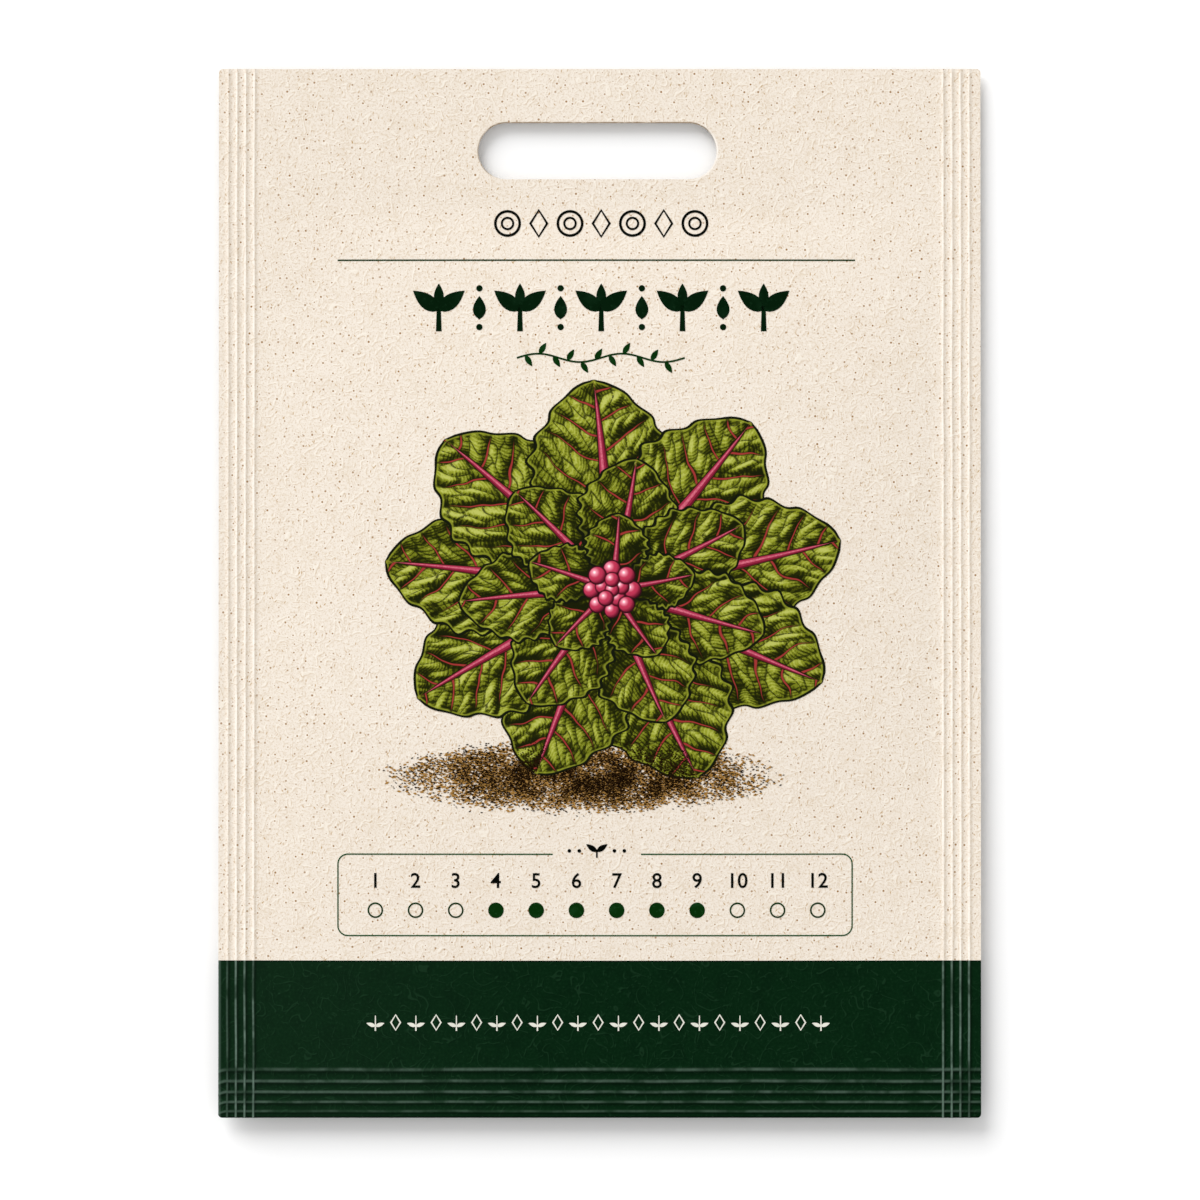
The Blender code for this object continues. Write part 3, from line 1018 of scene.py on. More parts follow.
@dataclass
class Packet:
    """The die-cut and crimped form that both webs share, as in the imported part."""

    width: float = 100.0 * MM
    height: float = 137.6 * MM
    corner_radius: float = 0.5 * MM
    slot_length: float = SLOT_SIZE[0] * MM
    slot_height: float = SLOT_SIZE[1] * MM
    slot_x: float = SLOT_CENTRE[0] * MM
    slot_y: float = SLOT_CENTRE[1] * MM
    web_thickness: float = 0.155 * MM
    seal_foot: float = 2.45 * MM
    seal_head: float = 1.2 * MM
    crown: float = 3.78 * MM
    rib_height: float = 0.14 * MM
    side_ribs: int = SIDE_RIBS
    side_pitch: float = 1.14 * MM
    left_margin: float = 1.25 * MM
    right_margin: float = 1.48 * MM
    foot_ribs: int = FOOT_RIBS
    foot_margin: float = 0.76 * MM
    foot_gap: float = 1.2 * MM
    foot_growth: float = 1.08
    foot_hook: float = 0.35 * MM
    hook_reach: float = 1.2 * MM
    rib_waver: float = 0.16
    side_seal: float = 5.4 * MM
    foot_seal: float = 6.9 * MM
    head_seal: float = 19.0 * MM
    rest_share: float = 0.6
    cockle: float = 0.05 * MM
    band_top: float = -48.18 * MM
    rib_step: float = 0.114 * MM
    wide_step: float = 1.5 * MM
    trim: float = 1.0 * MM
    die_reach: float = 10.0 * MM
    edge_lean: float = 0.3
    recipe: Recipe | None = field(default=None, init=False)
    die: bpy.types.Object | None = field(default=None, init=False)

    def stations(self, start: float, end: float, step: float) -> list[float]:
        """Gives evenly spaced grid lines from start up to, and without, end."""
        count = max(1, round((end - start) / step))
        return [start + (end - start) * k / count for k in range(count)]

    def grid_lines(self) -> tuple[list[float], list[float]]:
        """Gives the columns and rows of a web: close at the ribs, wide in between, past the trim at the rim."""
        right, head = self.width / 2, self.height / 2
        seal_x, seal_y = right - self.side_seal, self.foot_seal - head
        columns = [
            *self.stations(-right - self.trim, -seal_x, self.rib_step),
            *self.stations(-seal_x, seal_x, self.wide_step),
            *self.stations(seal_x, right + self.trim, self.rib_step),
            right + self.trim,
        ]
        rows = [
            *self.stations(-head - self.trim, seal_y, self.rib_step),
            *self.stations(seal_y, self.band_top, self.wide_step),
            *self.stations(self.band_top, head + self.trim, self.wide_step),
            head + self.trim,
        ]
        return columns, rows

    def make_recipe(self) -> Recipe:
        """Builds the tree that bends a flat sheet into a crimped web.

        Returns:
            The recipe, whose inputs are the sizes and the two finishes.
        """
        sizes = ("half_width", "half_height", "seal_foot", "seal_head", "web_thickness", "crown", "rib_height",
                 "side_ribs", "side_pitch", "left_margin", "right_margin", "foot_ribs", "foot_margin",
                 "foot_gap", "foot_growth", "foot_hook", "hook_reach", "rib_waver", "side_seal", "foot_seal",
                 "head_seal", "rest_share", "cockle", "band_top", "faces_up")
        materials = {"paper": bpy.types.Material, "band": bpy.types.Material}
        recipe = Recipe("crimped_web", **{size: float for size in sizes}, **materials)
        x, y, _ = recipe.place()
        middle = recipe.formula("(foot_seal - head_seal) / 2")
        reach = recipe.formula("half_height - (foot_seal + head_seal) / 2")
        names = {"x": x, "y": y}
        names["across"] = recipe.formula("min(1, abs(x) / (half_width - side_seal))", **names)
        names["along"] = recipe.formula("min(1, abs(y - middle) / reach)", y=y, middle=middle, reach=reach)
        names["swell"] = recipe.formula("faces_up * (1 - across ** 2) * (1 - along ** 2) + (1 - faces_up)"
                                        " * smooth(1 - across, 0, 1 - rest_share)"
                                        " * smooth(1 - along, 0, 1 - rest_share)", **names)
        names["flat"] = recipe.formula("seal_foot + (seal_head - seal_foot) * (y + half_height) / half_height / 2"
                                       " + (2 * faces_up - 1) * web_thickness", **names)
        place = recipe.add("GeometryNodeInputPosition")
        waver = recipe.add("ShaderNodeTexNoise", {"Vector": place, "Scale": 0.12 / MM, "Detail": 2.0})
        nick = recipe.add("ShaderNodeTexNoise", {"Vector": place, "Scale": 0.7 / MM, "Detail": 2.0})
        slow = recipe.add("ShaderNodeTexNoise", {"Vector": place, "Scale": 0.035 / MM, "Detail": 1.0})
        names.update(waver=waver, nick=nick, slow=slow)
        ribs = {
            "left": "(x + half_width - left_margin) / side_pitch + rib_waver * (waver - 0.5)",
            "right": "(half_width - right_margin - x) / side_pitch + rib_waver * (waver - 0.5)",
            "foot": "log(max(0.5, 1 + (y + half_height - foot_margin + foot_hook * max(0, 1 - (x + half_width)"
                    " / hook_reach) ** 2) * (foot_growth - 1) / foot_gap), foot_growth) + rib_waver * (waver - 0.5)",
        }
        for side, line in ribs.items():
            turn = recipe.formula(line, **names)
            count = "foot_ribs" if side == "foot" else "side_ribs"
            names[side] = recipe.formula(f"2 * (turn - max(0, min({count} - 1, floor(turn + 0.5))))", turn=turn)
            names[f"{side}_turn"] = turn
        names["share"] = recipe.formula("min(1, min(abs(left), min(abs(right), abs(foot))))", **names)
        names["ribs"] = recipe.formula("rib_height * (1 - min(1, sqrt(share ** 2 + 0.0005))) ** 2"
                                       " * (0.75 + 0.5 * nick)", **names)
        height = recipe.formula("flat * (1 - swell) + swell * faces_up * crown + ribs"
                                " + cockle * (slow - 0.5) * (1 - swell)", **names)
        spot = recipe.vector(X=x, Y=y, Z=height)
        side_turn = recipe.formula("less(x, 0) * (0 - left_turn - left_offset)"
                                   " + more(x, 0) * (right_turn - right_offset)",
                                   left_offset=LEFT_OFFSET, right_offset=RIGHT_OFFSET, **names)
        web = recipe.store(recipe.geometry, "side_turn", side_turn)
        web = recipe.store(web, "foot_turn", names["foot_turn"])
        web = recipe.add("GeometryNodeSetPosition", {"Geometry": web, "Position": spot})
        in_band = recipe.formula("less(y, band_top)", **names)
        return recipe.finish(web, (recipe.values["paper"], True), (recipe.values["band"], in_band))

    def slot_outline(self) -> list[tuple[float, float]]:
        """Gives the points of the round-ended hang slot."""
        end = self.slot_height / 2
        reach = self.slot_length / 2 - end
        return [*arc(self.slot_x + reach, self.slot_y, end, -90, 180, 36),
                *arc(self.slot_x - reach, self.slot_y, end, 90, 180, 36)]

    def outline(self) -> list[tuple[float, float]]:
        """Gives the points of the packet's outline, with its small round corners."""
        x, y = self.width / 2 - self.corner_radius, self.height / 2 - self.corner_radius
        points = []
        for side_x, side_y, start in ((1, 1, 0), (-1, 1, 90), (-1, -1, 180), (1, -1, 270)):
            points += arc(side_x * x, side_y * y, self.corner_radius, start, 90, 6)
        return points

    def make_die(self) -> bpy.types.Object:
        """Makes the cutter that trims the outline and punches the slot."""
        curve = bpy.data.curves.new("die", "CURVE")
        curve.dimensions = "2D"
        curve.fill_mode = "BOTH"
        curve.extrude = self.die_reach
        for points in (self.outline(), self.slot_outline()):
            spline = curve.splines.new("POLY")
            spline.points.add(len(points) - 1)
            for point, (x, y) in zip(spline.points, points):
                point.co = (x, y, 0, 1)
            spline.use_cyclic_u = True
        guide = add_object("die_guide", curve)
        mesh = to_mesh(guide)
        build = bmesh.new()
        build.from_mesh(mesh)
        bmesh.ops.remove_doubles(build, verts=build.verts, dist=0.001 * MM)
        bmesh.ops.recalc_face_normals(build, faces=build.faces)
        build.to_mesh(mesh)
        build.free()
        bpy.data.objects.remove(guide)
        return add_object("die", mesh)

    def flat_sheet(self, name: str, faces: Face) -> bpy.types.Object:
        """Makes the flat grid that a web starts from."""
        columns, rows = self.grid_lines()
        build = bmesh.new()
        bmesh.ops.create_grid(build, x_segments=len(columns) - 1, y_segments=len(rows) - 1, size=0.5)
        for vert in build.verts:
            column = round((vert.co.x + 0.5) * (len(columns) - 1))
            row = round((vert.co.y + 0.5) * (len(rows) - 1))
            vert.co = (columns[column], rows[row], 0)
        if faces is Face.BACK:
            bmesh.ops.reverse_faces(build, faces=build.faces)
        mesh = bpy.data.meshes.new(name)
        build.to_mesh(mesh)
        build.free()
        return add_object(name, mesh)

    def make_web(self, name: str, node: str, slot: str, faces: Face, finishes: dict[str, Any],
                 edge: bpy.types.Material) -> bpy.types.Object:
        """Makes one web: crimped, given its thickness inwards, and die-cut.

        Args:
            name: The piece's name.
            node: The CAD node that it stands for.
            slot: The record's material slot.
            faces: Which way it faces.
            finishes: The paper and band materials.
            edge: The material of the cut edge.

        Returns:
            The finished piece.
        """
        self.recipe = self.recipe or self.make_recipe()
        self.die = self.die or self.make_die()
        web = self.flat_sheet(name, faces)
        sizes = {key: getattr(self, key) for key in self.recipe.values if hasattr(self, key)}
        self.recipe.apply_to(web, **sizes, half_width=self.width / 2, half_height=self.height / 2,
                             faces_up=faces.value, **finishes)
        solidify = web.modifiers.new("paper_thickness", "SOLIDIFY")
        solidify.thickness = self.web_thickness
        solidify.offset = -1.0
        trim = web.modifiers.new("die_cut", "BOOLEAN")
        trim.operation = "INTERSECT"
        trim.object = self.die
        settle(web, slot, node)
        web.data.materials.append(edge)
        last = len(web.data.materials) - 1
        for polygon in web.data.polygons:
            if abs(polygon.normal.z) < self.edge_lean:
                polygon.material_index = last
        return web

    def clear_tools(self) -> None:
        """Removes the die once both webs are cut."""
        bpy.data.objects.remove(self.die)


@dataclass
class Press:
    """Lays flat artwork on the front web as thin films of ink."""

    web: bpy.types.Object
    ink_thickness: float = 0.03 * MM
    lift: float = 0.01 * MM
    fall: float = 20.0 * MM
    motifs: list[bpy.types.Object] = field(default_factory=list)
    recipe: Recipe | None = field(default=None, init=False)

    def make_recipe(self) -> Recipe:
        """Builds the tree that drops flat artwork onto the web and keeps the artwork's own small heights."""
        recipe = Recipe("ink_lay_down", web=bpy.types.Object, lift=float, fall=float, ink=bpy.types.Material)
        x, y, z = recipe.place()
        target = recipe.add("GeometryNodeObjectInfo", {"Object": recipe.values["web"]})
        above = recipe.vector(X=x, Y=y, Z=recipe.values["fall"])
        ray = recipe.add("GeometryNodeRaycast", {
            "Target Geometry": target.outputs["Geometry"],
            "Source Position": above,
            "Ray Direction": (0, 0, -1),
            "Ray Length": recipe.values["fall"],
        })
        landed = recipe.add("ShaderNodeSeparateXYZ", {0: ray.outputs["Hit Position"]})
        height = recipe.formula("landed + lift + z", landed=landed.outputs["Z"], z=z)
        spot = recipe.vector(X=x, Y=y, Z=height)
        film = recipe.add("GeometryNodeSetPosition", {"Geometry": recipe.geometry, "Position": spot})
        return recipe.finish(film, (recipe.values["ink"], True))

    def lay(self, art: bpy.types.Object, ink: bpy.types.Material) -> bpy.types.Object:
        """Prints a flat object, which may carry modifiers of its own, as one film."""
        self.recipe = self.recipe or self.make_recipe()
        self.recipe.apply_to(art, web=self.web, lift=self.lift, fall=self.fall, ink=ink)
        solidify = art.modifiers.new("ink_thickness", "SOLIDIFY")
        solidify.thickness = self.ink_thickness
        solidify.offset = 1.0
        return settle(art, "front_paper", sharp_angle=45.0)

    def motif(self, sketch: Sketch, name: str) -> bpy.types.Object:
        """Keeps a small flat shape as the source of a repeat, until the printing is done."""
        obj = sketch.to_object(name)
        self.motifs.append(obj)
        return obj

    def clear_tools(self) -> None:
        """Removes the motifs."""
        for obj in self.motifs:
            bpy.data.objects.remove(obj)


class PickRule(Enum):
    """How a row picks between its two motifs: the second one's places, as a formula of the index."""

    ALTERNATE = "index % 2"
    SPAN = "more(index, first - 0.5) * less(index, last + 0.5)"


@dataclass
class Row:
    """An even row of two motifs."""

    rule: PickRule

    def make_recipe(self) -> Recipe:
        """Builds the tree that adds the row to what the object already holds."""
        numbers = {name: float for name in ("start_x", "row_y", "pitch", "first", "last")}
        recipe = Recipe(f"row_{self.rule.name.lower()}", count=int, **numbers, motif=bpy.types.Object,
                        other=bpy.types.Object, ink=bpy.types.Material)
        index = recipe.add("GeometryNodeInputIndex")
        picked = recipe.formula(self.rule.value, index=index)
        line = recipe.add("GeometryNodeMeshLine", {
            "Count": recipe.values["count"],
            "Start Location": recipe.vector(X=recipe.values["start_x"], Y=recipe.values["row_y"]),
            "Offset": recipe.vector(X=recipe.values["pitch"]),
        })
        placed = []
        for source, chosen in (("other", picked), ("motif", recipe.formula("1 - picked", picked=picked))):
            shape = recipe.add("GeometryNodeObjectInfo", {"Object": recipe.values[source]})
            placed.append(recipe.add("GeometryNodeInstanceOnPoints", {
                "Points": line,
                "Selection": chosen,
                "Instance": shape.outputs["Geometry"],
            }).outputs[0])
        return recipe.finish(recipe.join(recipe.geometry, *placed), (recipe.values["ink"], True))


@dataclass(frozen=True)
class LeafRing:
    """One ring of leaves: the way from the heart to a leaf's foot, the leaf's size, and the ring's turn."""

    count: int
    foot: float
    length: float
    half_width: float
    turn: float


@dataclass(frozen=True)
class BerryRing:
    """One ring of berries: its radius and theirs."""

    count: int
    radius: float
    berry: float


@dataclass(frozen=True)
class Stipple:
    """One pass of short strokes over the ground: their reach and number, and how they thin out to the rim."""

    name: str
    reach: float
    density: float
    fall_off: float
    share: float


@dataclass
class LeafRosette:
    """The picture's place: a plain rosette of leaves seen from above, with berries at its heart.

    The flat art's own small heights put one leaf over the next: each leaf leans, so that its left edge lies
    over its neighbour's right one all the way round.
    """

    centre_x: float = 1.6 * MM
    centre_y: float = 0.4 * MM
    stretch: float = 1.13
    leaf_steps: int = 86
    side_steps: int = 26
    ruffles: float = 8.0
    lean: float = 0.004 * MM
    layer_step: float = 0.012 * MM
    bend: float = 0.04
    berry_lift: float = 4.2
    berry_step: float = 0.8
    berry_turn: float = 0.3
    ground_x: float = -2.2 * MM
    ground_y: float = -24.0 * MM
    ground_half_width: float = 27.2 * MM
    ground_half_height: float = 5.2 * MM
    first_ground_seed: int = 5
    leaf_rings: tuple[LeafRing, ...] = (
        LeafRing(count=9, foot=3.4 * MM, length=23.2 * MM, half_width=8.2 * MM, turn=0.17),
        LeafRing(count=7, foot=2.2 * MM, length=15.8 * MM, half_width=6.0 * MM, turn=0.5),
        LeafRing(count=5, foot=1.2 * MM, length=9.0 * MM, half_width=3.9 * MM, turn=0.2),
    )
    berry_rings: tuple[BerryRing, ...] = (
        BerryRing(count=8, radius=2.7 * MM, berry=1.15 * MM),
        BerryRing(count=5, radius=1.35 * MM, berry=1.1 * MM),
        BerryRing(count=1, radius=0.0, berry=1.05 * MM),
    )
    pale_grains: Stipple = Stipple("ground_pale_stipple", reach=0.3 * MM, density=36.0 / MM ** 2, fall_off=1.5,
                                   share=0.98)
    dark_grains: Stipple = Stipple("ground_dark_stipple", reach=0.165 * MM, density=54.0 / MM ** 2, fall_off=1.6,
                                   share=1.0)

    def ring_recipe(self) -> Recipe:
        """Builds the tree that adds one ring of leaves to what the object already holds."""
        numbers = ("base_radius", "leaf_length", "leaf_half_width", "turn", "height", "lean", "bend", "shift_x",
                   "shift_y", "stretch", "ruffles")
        recipe = Recipe("leaf_ring", count=int, steps=int, side_steps=int, seed=int,
                        **{name: float for name in numbers}, ink=bpy.types.Material)
        blade = recipe.add("GeometryNodeMeshGrid", {"Size X": 1.0, "Size Y": 1.0,
                                                    "Vertices X": recipe.values["steps"],
                                                    "Vertices Y": recipe.values["side_steps"]}).outputs[0]
        x, y, _ = recipe.place()
        names = {"along": recipe.formula("x + 0.5", x=x), "across": recipe.formula("2 * y", y=y)}
        shape = ("max(0.06 * (1 - along), sin(3.1416 * min(along, 1) ** 1.12) ** 0.62"
                 " * (1 + 0.05 * sin(6.283 * ruffles * along + 2 * across) + 0.025 * sin(17 * along - 3 * across)))"
                 " + 0.008")
        names["outline"] = recipe.formula(shape, **names)
        further = recipe.formula("min(along + 0.01, 1)", **names)
        names["further"] = recipe.formula(shape, **{**names, "along": further})
        names["slope"] = recipe.formula("(further - outline) / 0.01 * leaf_half_width / leaf_length", **names)
        blade = recipe.store(blade, "along", names["along"])
        blade = recipe.store(blade, "across", names["across"])
        blade = recipe.store(blade, "half_width", recipe.formula("outline * leaf_half_width / 0.001", **names))
        blade = recipe.store(blade, "leaf_length", recipe.formula("leaf_length / 0.001"))
        blade = recipe.store(blade, "slant", recipe.formula("1 / sqrt(1 + slope ** 2)", **names))
        spot = recipe.vector(
            X=recipe.formula("base_radius + leaf_length * (along - 0.05 * across ** 2 * sin(3.1416 * along))",
                             **names),
            Y=recipe.formula("across * outline * leaf_half_width + bend * leaf_length * along ** 2", **names),
            Z=recipe.formula("lean * across", **names),
        )
        blade = recipe.add("GeometryNodeSetPosition", {"Geometry": blade, "Position": spot})
        index = recipe.add("GeometryNodeInputIndex")
        sway, size, tone = (recipe.random(low, high, recipe.values["seed"], ID=index)
                            for low, high in ((-0.05, 0.05), (0.95, 1.04), (0.25, 0.75)))
        angle = recipe.formula("turn + 6.28319 * index / count + sway", index=index, sway=sway)
        ring = recipe.add("GeometryNodeInstanceOnPoints", {
            "Points": recipe.add("GeometryNodeMeshLine", {"Count": recipe.values["count"], "Offset": (0, 0, 0)}),
            "Instance": blade,
            "Rotation": recipe.rotation(angle),
            "Scale": recipe.vector(X=size, Y=size, Z=1.0),
        })
        ring = recipe.store(ring, "tone", tone, domain="INSTANCE")
        ring = recipe.store(ring, "turn", angle, domain="INSTANCE")
        ring = recipe.add("GeometryNodeTransform", {
            "Geometry": ring,
            "Translation": recipe.vector(X=recipe.values["shift_x"], Y=recipe.values["shift_y"],
                                         Z=recipe.values["height"]),
            "Scale": recipe.vector(X=recipe.values["stretch"], Y=1.0, Z=1.0),
        })
        return recipe.finish(recipe.join(ring.outputs[0], recipe.geometry), (recipe.values["ink"], True))

    def make_leaves(self, press: Press, ink: bpy.types.Material) -> None:
        """Prints the three rings of leaves as one film."""
        recipe = self.ring_recipe()
        art = Sketch().to_object("leaf_rosette")
        for level, ring in enumerate(self.leaf_rings):
            recipe.apply_to(art, count=ring.count, steps=self.leaf_steps, side_steps=self.side_steps, seed=level,
                            base_radius=ring.foot, leaf_length=ring.length, leaf_half_width=ring.half_width,
                            turn=ring.turn, height=(level + 1) * self.layer_step, lean=self.lean, bend=self.bend,
                            shift_x=self.centre_x, shift_y=self.centre_y, stretch=self.stretch,
                            ruffles=self.ruffles, ink=ink)
        press.lay(art, ink)

    def berry_recipe(self) -> Recipe:
        """Builds the tree that adds one ring of berries."""
        numbers = ("ring_radius", "berry_radius", "turn", "height", "shift_x", "shift_y")
        recipe = Recipe("berry_ring", count=int, seed=int, **{name: float for name in numbers},
                        ink=bpy.types.Material)
        disc = recipe.add("GeometryNodeMeshCircle", {"Vertices": 28, "Radius": 1.0}, fill_type="TRIANGLE_FAN")
        x, y, _ = recipe.place()
        berry = recipe.store(disc, "disc_x", x)
        berry = recipe.store(berry, "disc_y", y)
        index = recipe.add("GeometryNodeInputIndex")
        angle = recipe.formula("turn + 6.28319 * index / count", index=index)
        spot = recipe.vector(
            X=recipe.formula("shift_x + ring_radius * cos(angle)", angle=angle),
            Y=recipe.formula("shift_y + ring_radius * sin(angle)", angle=angle),
            Z=recipe.formula("height * (1 + 0.2 * (index % 2))", index=index),
        )
        points = recipe.add("GeometryNodeSetPosition", {
            "Geometry": recipe.add("GeometryNodeMeshLine", {"Count": recipe.values["count"],
                                                            "Offset": (0, 0, 0)}),
            "Position": spot,
        })
        size = recipe.random(0.88, 1.1, recipe.values["seed"], ID=index)
        radius = recipe.formula("berry_radius * size", size=size)
        ring = recipe.add("GeometryNodeInstanceOnPoints", {
            "Points": points,
            "Instance": berry,
            "Scale": recipe.vector(X=radius, Y=radius, Z=1.0),
        })
        return recipe.finish(recipe.join(ring.outputs[0], recipe.geometry), (recipe.values["ink"], True))

    def make_berries(self, press: Press, ink: bpy.types.Material) -> None:
        """Prints the berries at the heart."""
        recipe = self.berry_recipe()
        art = Sketch().to_object("rosette_berries")
        for level, ring in enumerate(self.berry_rings):
            recipe.apply_to(art, count=ring.count, seed=level, ring_radius=ring.radius, berry_radius=ring.berry,
                            turn=self.berry_turn * level,
                            height=(self.berry_lift + self.berry_step * level) * self.layer_step,
                            shift_x=self.centre_x, shift_y=self.centre_y, ink=ink)
        press.lay(art, ink)

    def ground_recipe(self) -> Recipe:
        """Builds the tree that scatters short strokes over an oval, thick in the middle and thin at its rim."""
        numbers = ("half_width", "half_height", "ground_x", "ground_y", "height", "density", "fall_off")
        recipe = Recipe("stippled_ground", seed=int, stroke=bpy.types.Object,
                        **{name: float for name in numbers}, ink=bpy.types.Material)
        ground = recipe.add("GeometryNodeMeshGrid", {
            "Size X": recipe.formula("2 * half_width"),
            "Size Y": recipe.formula("2 * half_height"),
            "Vertices X": 60,
            "Vertices Y": 24,
        }).outputs[0]
        x, y, _ = recipe.place()
        patch = recipe.add("ShaderNodeTexNoise", {"Vector": recipe.add("GeometryNodeInputPosition"),
                                                  "Scale": 0.3 / MM, "Detail": 2.0})
        density = recipe.formula("density * max(0, 1 - (x / half_width) ** 2 - (y / half_height) ** 2) ** fall_off"
                                 " * (0.35 + 1.3 * smooth(patch, 0.35, 0.65))", x=x, y=y, patch=patch)
        points = recipe.add("GeometryNodeDistributePointsOnFaces", {
            "Mesh": ground,
            "Density": density,
            "Seed": recipe.values["seed"],
        }, distribute_method="RANDOM").outputs["Points"]
        shape = recipe.add("GeometryNodeObjectInfo", {"Object": recipe.values["stroke"]})
        size, lean = recipe.random(0.5, 1.3, 3), recipe.random(-0.5, 0.5, 4)
        strokes = recipe.add("GeometryNodeInstanceOnPoints", {
            "Points": points,
            "Instance": shape.outputs["Geometry"],
            "Rotation": recipe.rotation(lean),
            "Scale": recipe.vector(X=size, Y=size, Z=1.0),
        })
        moved = recipe.add("GeometryNodeTransform", {
            "Geometry": strokes,
            "Translation": recipe.vector(X=recipe.values["ground_x"], Y=recipe.values["ground_y"],
                                         Z=recipe.values["height"]),
        })
        return recipe.finish(moved, (recipe.values["ink"], True))

    def make_ground(self, press: Press, pale: bpy.types.Material, dark: bpy.types.Material) -> None:
        """Prints the stippled ground below the leaves: pale grains, then dark ones thick in the middle."""
        recipe = self.ground_recipe()
        for level, (grains, ink) in enumerate(((self.pale_grains, pale), (self.dark_grains, dark))):
            sketch = Sketch()
            sketch.lozenge(grains.reach, 0.45 * grains.reach)
            art = Sketch().to_object(grains.name)
            recipe.apply_to(art, seed=self.first_ground_seed + level,
                            stroke=press.motif(sketch, f"{grains.name}_grain"),
                            half_width=self.ground_half_width * grains.share,
                            half_height=self.ground_half_height * grains.share, ground_x=self.ground_x,
                            ground_y=self.ground_y, height=level * self.layer_step,
                            density=grains.density, fall_off=grains.fall_off, ink=ink)
            press.lay(art, ink)


@dataclass
class Ornaments:
    """The rows and lines printed round the rosette, in the places that a packet gives to its words."""

    rule_y: float = 43.66 * MM
    rule_left: float = -34.4 * MM
    rule_right: float = 33.5 * MM
    rule_width: float = 0.185 * MM
    row_shift: float = 0.2 * MM
    name_y: float = 48.5 * MM
    name_side_count: int = 3
    name_pitch: float = 4.1 * MM
    title_y: float = 37.4 * MM
    title_half: float = 21.3 * MM
    title_count: int = 9
    vine_y: float = 30.8 * MM
    vine_half: float = 11.0 * MM
    vine_steps: int = 60
    band_row_y: float = -56.3 * MM
    band_row_half: float = 29.2 * MM
    band_count: int = 23

    def make_rule(self, press: Press, ink: bpy.types.Material) -> None:
        """Prints the thin rule below the name's place."""
        sketch = Sketch()
        ends = ((self.rule_left, self.rule_y), (self.rule_right, self.rule_y))
        sketch.stroke(straight(*ends, 40), self.rule_width)
        press.lay(sketch.to_object("printed_rule"), ink)

    def make_name_row(self, press: Press, row: Recipe, ink: bpy.types.Material) -> None:
        """Prints thin rings and lozenges in the name's place."""
        ring = Sketch()
        ring.ring(0, 0, 1.6 * MM, 0.34 * MM, 40)
        ring.ring(0, 0, 0.75 * MM, 0.28 * MM, 28)
        lozenge = Sketch()
        lozenge.lozenge(1.1 * MM, 1.75 * MM, 0.34 * MM)
        art = Sketch().to_object("name_place_ornament")
        row.apply_to(art, count=2 * self.name_side_count + 1, row_y=self.name_y, pitch=self.name_pitch,
                     start_x=self.row_shift - self.name_side_count * self.name_pitch,
                     motif=press.motif(ring, "ring_motif"), other=press.motif(lozenge, "lozenge_motif"), ink=ink)
        press.lay(art, ink)

    def make_title_row(self, press: Press, row: Recipe, ink: bpy.types.Material) -> None:
        """Prints bold sprouts and seeds in the title's place."""
        sprout = Sketch()
        sprout.stroke(straight((0, -3.1 * MM), (0, 0.2 * MM), 3), 0.75 * MM, tip_share=0.7)
        for turn in (38, 142):
            sprout.leaf(0, -0.4 * MM, turn, 4.3 * MM, 2.0 * MM)
        sprout.leaf(0, 0.3 * MM, 90, 2.9 * MM, 1.3 * MM)
        sprout.disc(0, -0.05 * MM, 0.42 * MM, 20)
        seed = Sketch()
        seed.leaf(0, -1.55 * MM, 90, 3.1 * MM, 1.7 * MM)
        for side in (-1, 1):
            seed.disc(0, side * 2.55 * MM, 0.42 * MM, 20)
        art = Sketch().to_object("title_place_ornament")
        pitch = 2 * self.title_half / (self.title_count - 1)
        row.apply_to(art, count=self.title_count, start_x=self.row_shift - self.title_half, row_y=self.title_y,
                     pitch=pitch,
                     motif=press.motif(sprout, "sprout_motif"), other=press.motif(seed, "seed_motif"), ink=ink)
        press.lay(art, ink)

    def make_vine(self, press: Press, ink: bpy.types.Material) -> None:
        """Prints a small waving vine below the title's place."""
        sketch = Sketch()
        path = []
        for k in range(self.vine_steps + 1):
            x = -self.vine_half + 2 * self.vine_half * k / self.vine_steps
            path.append((x + 0.15 * MM, self.vine_y + 0.55 * MM * math.sin(x / (1.75 * MM))))
        sketch.stroke(path, 0.24 * MM)
        for number, k in enumerate(range(3, self.vine_steps - 2, 5)):
            x, y = path[k]
            side = 1 if number % 2 else -1
            sketch.leaf(x, y, side * 58, 1.7 * MM, 0.75 * MM)
        press.lay(sketch.to_object("vine_ornament"), ink)

    def make_band_row(self, press: Press, row: Recipe, ink: bpy.types.Material) -> None:
        """Prints a fine pale row on the dark band."""
        pair = Sketch()
        for turn in (20, 160):
            pair.leaf(0, -0.5 * MM, turn, 1.25 * MM, 0.5 * MM)
        pair.stroke(straight((0, -1.1 * MM), (0, 0.9 * MM), 2), 0.2 * MM, tip_share=0.6)
        lozenge = Sketch()
        lozenge.lozenge(0.62 * MM, 1.0 * MM, 0.22 * MM)
        art = Sketch().to_object("band_ornament")
        pitch = 2 * self.band_row_half / (self.band_count - 1)
        row.apply_to(art, count=self.band_count, start_x=-self.row_shift - self.band_row_half,
                     row_y=self.band_row_y, pitch=pitch,
                     motif=press.motif(pair, "leaf_pair_motif"), other=press.motif(lozenge, "small_lozenge_motif"),
                     ink=ink)
        press.lay(art, ink)


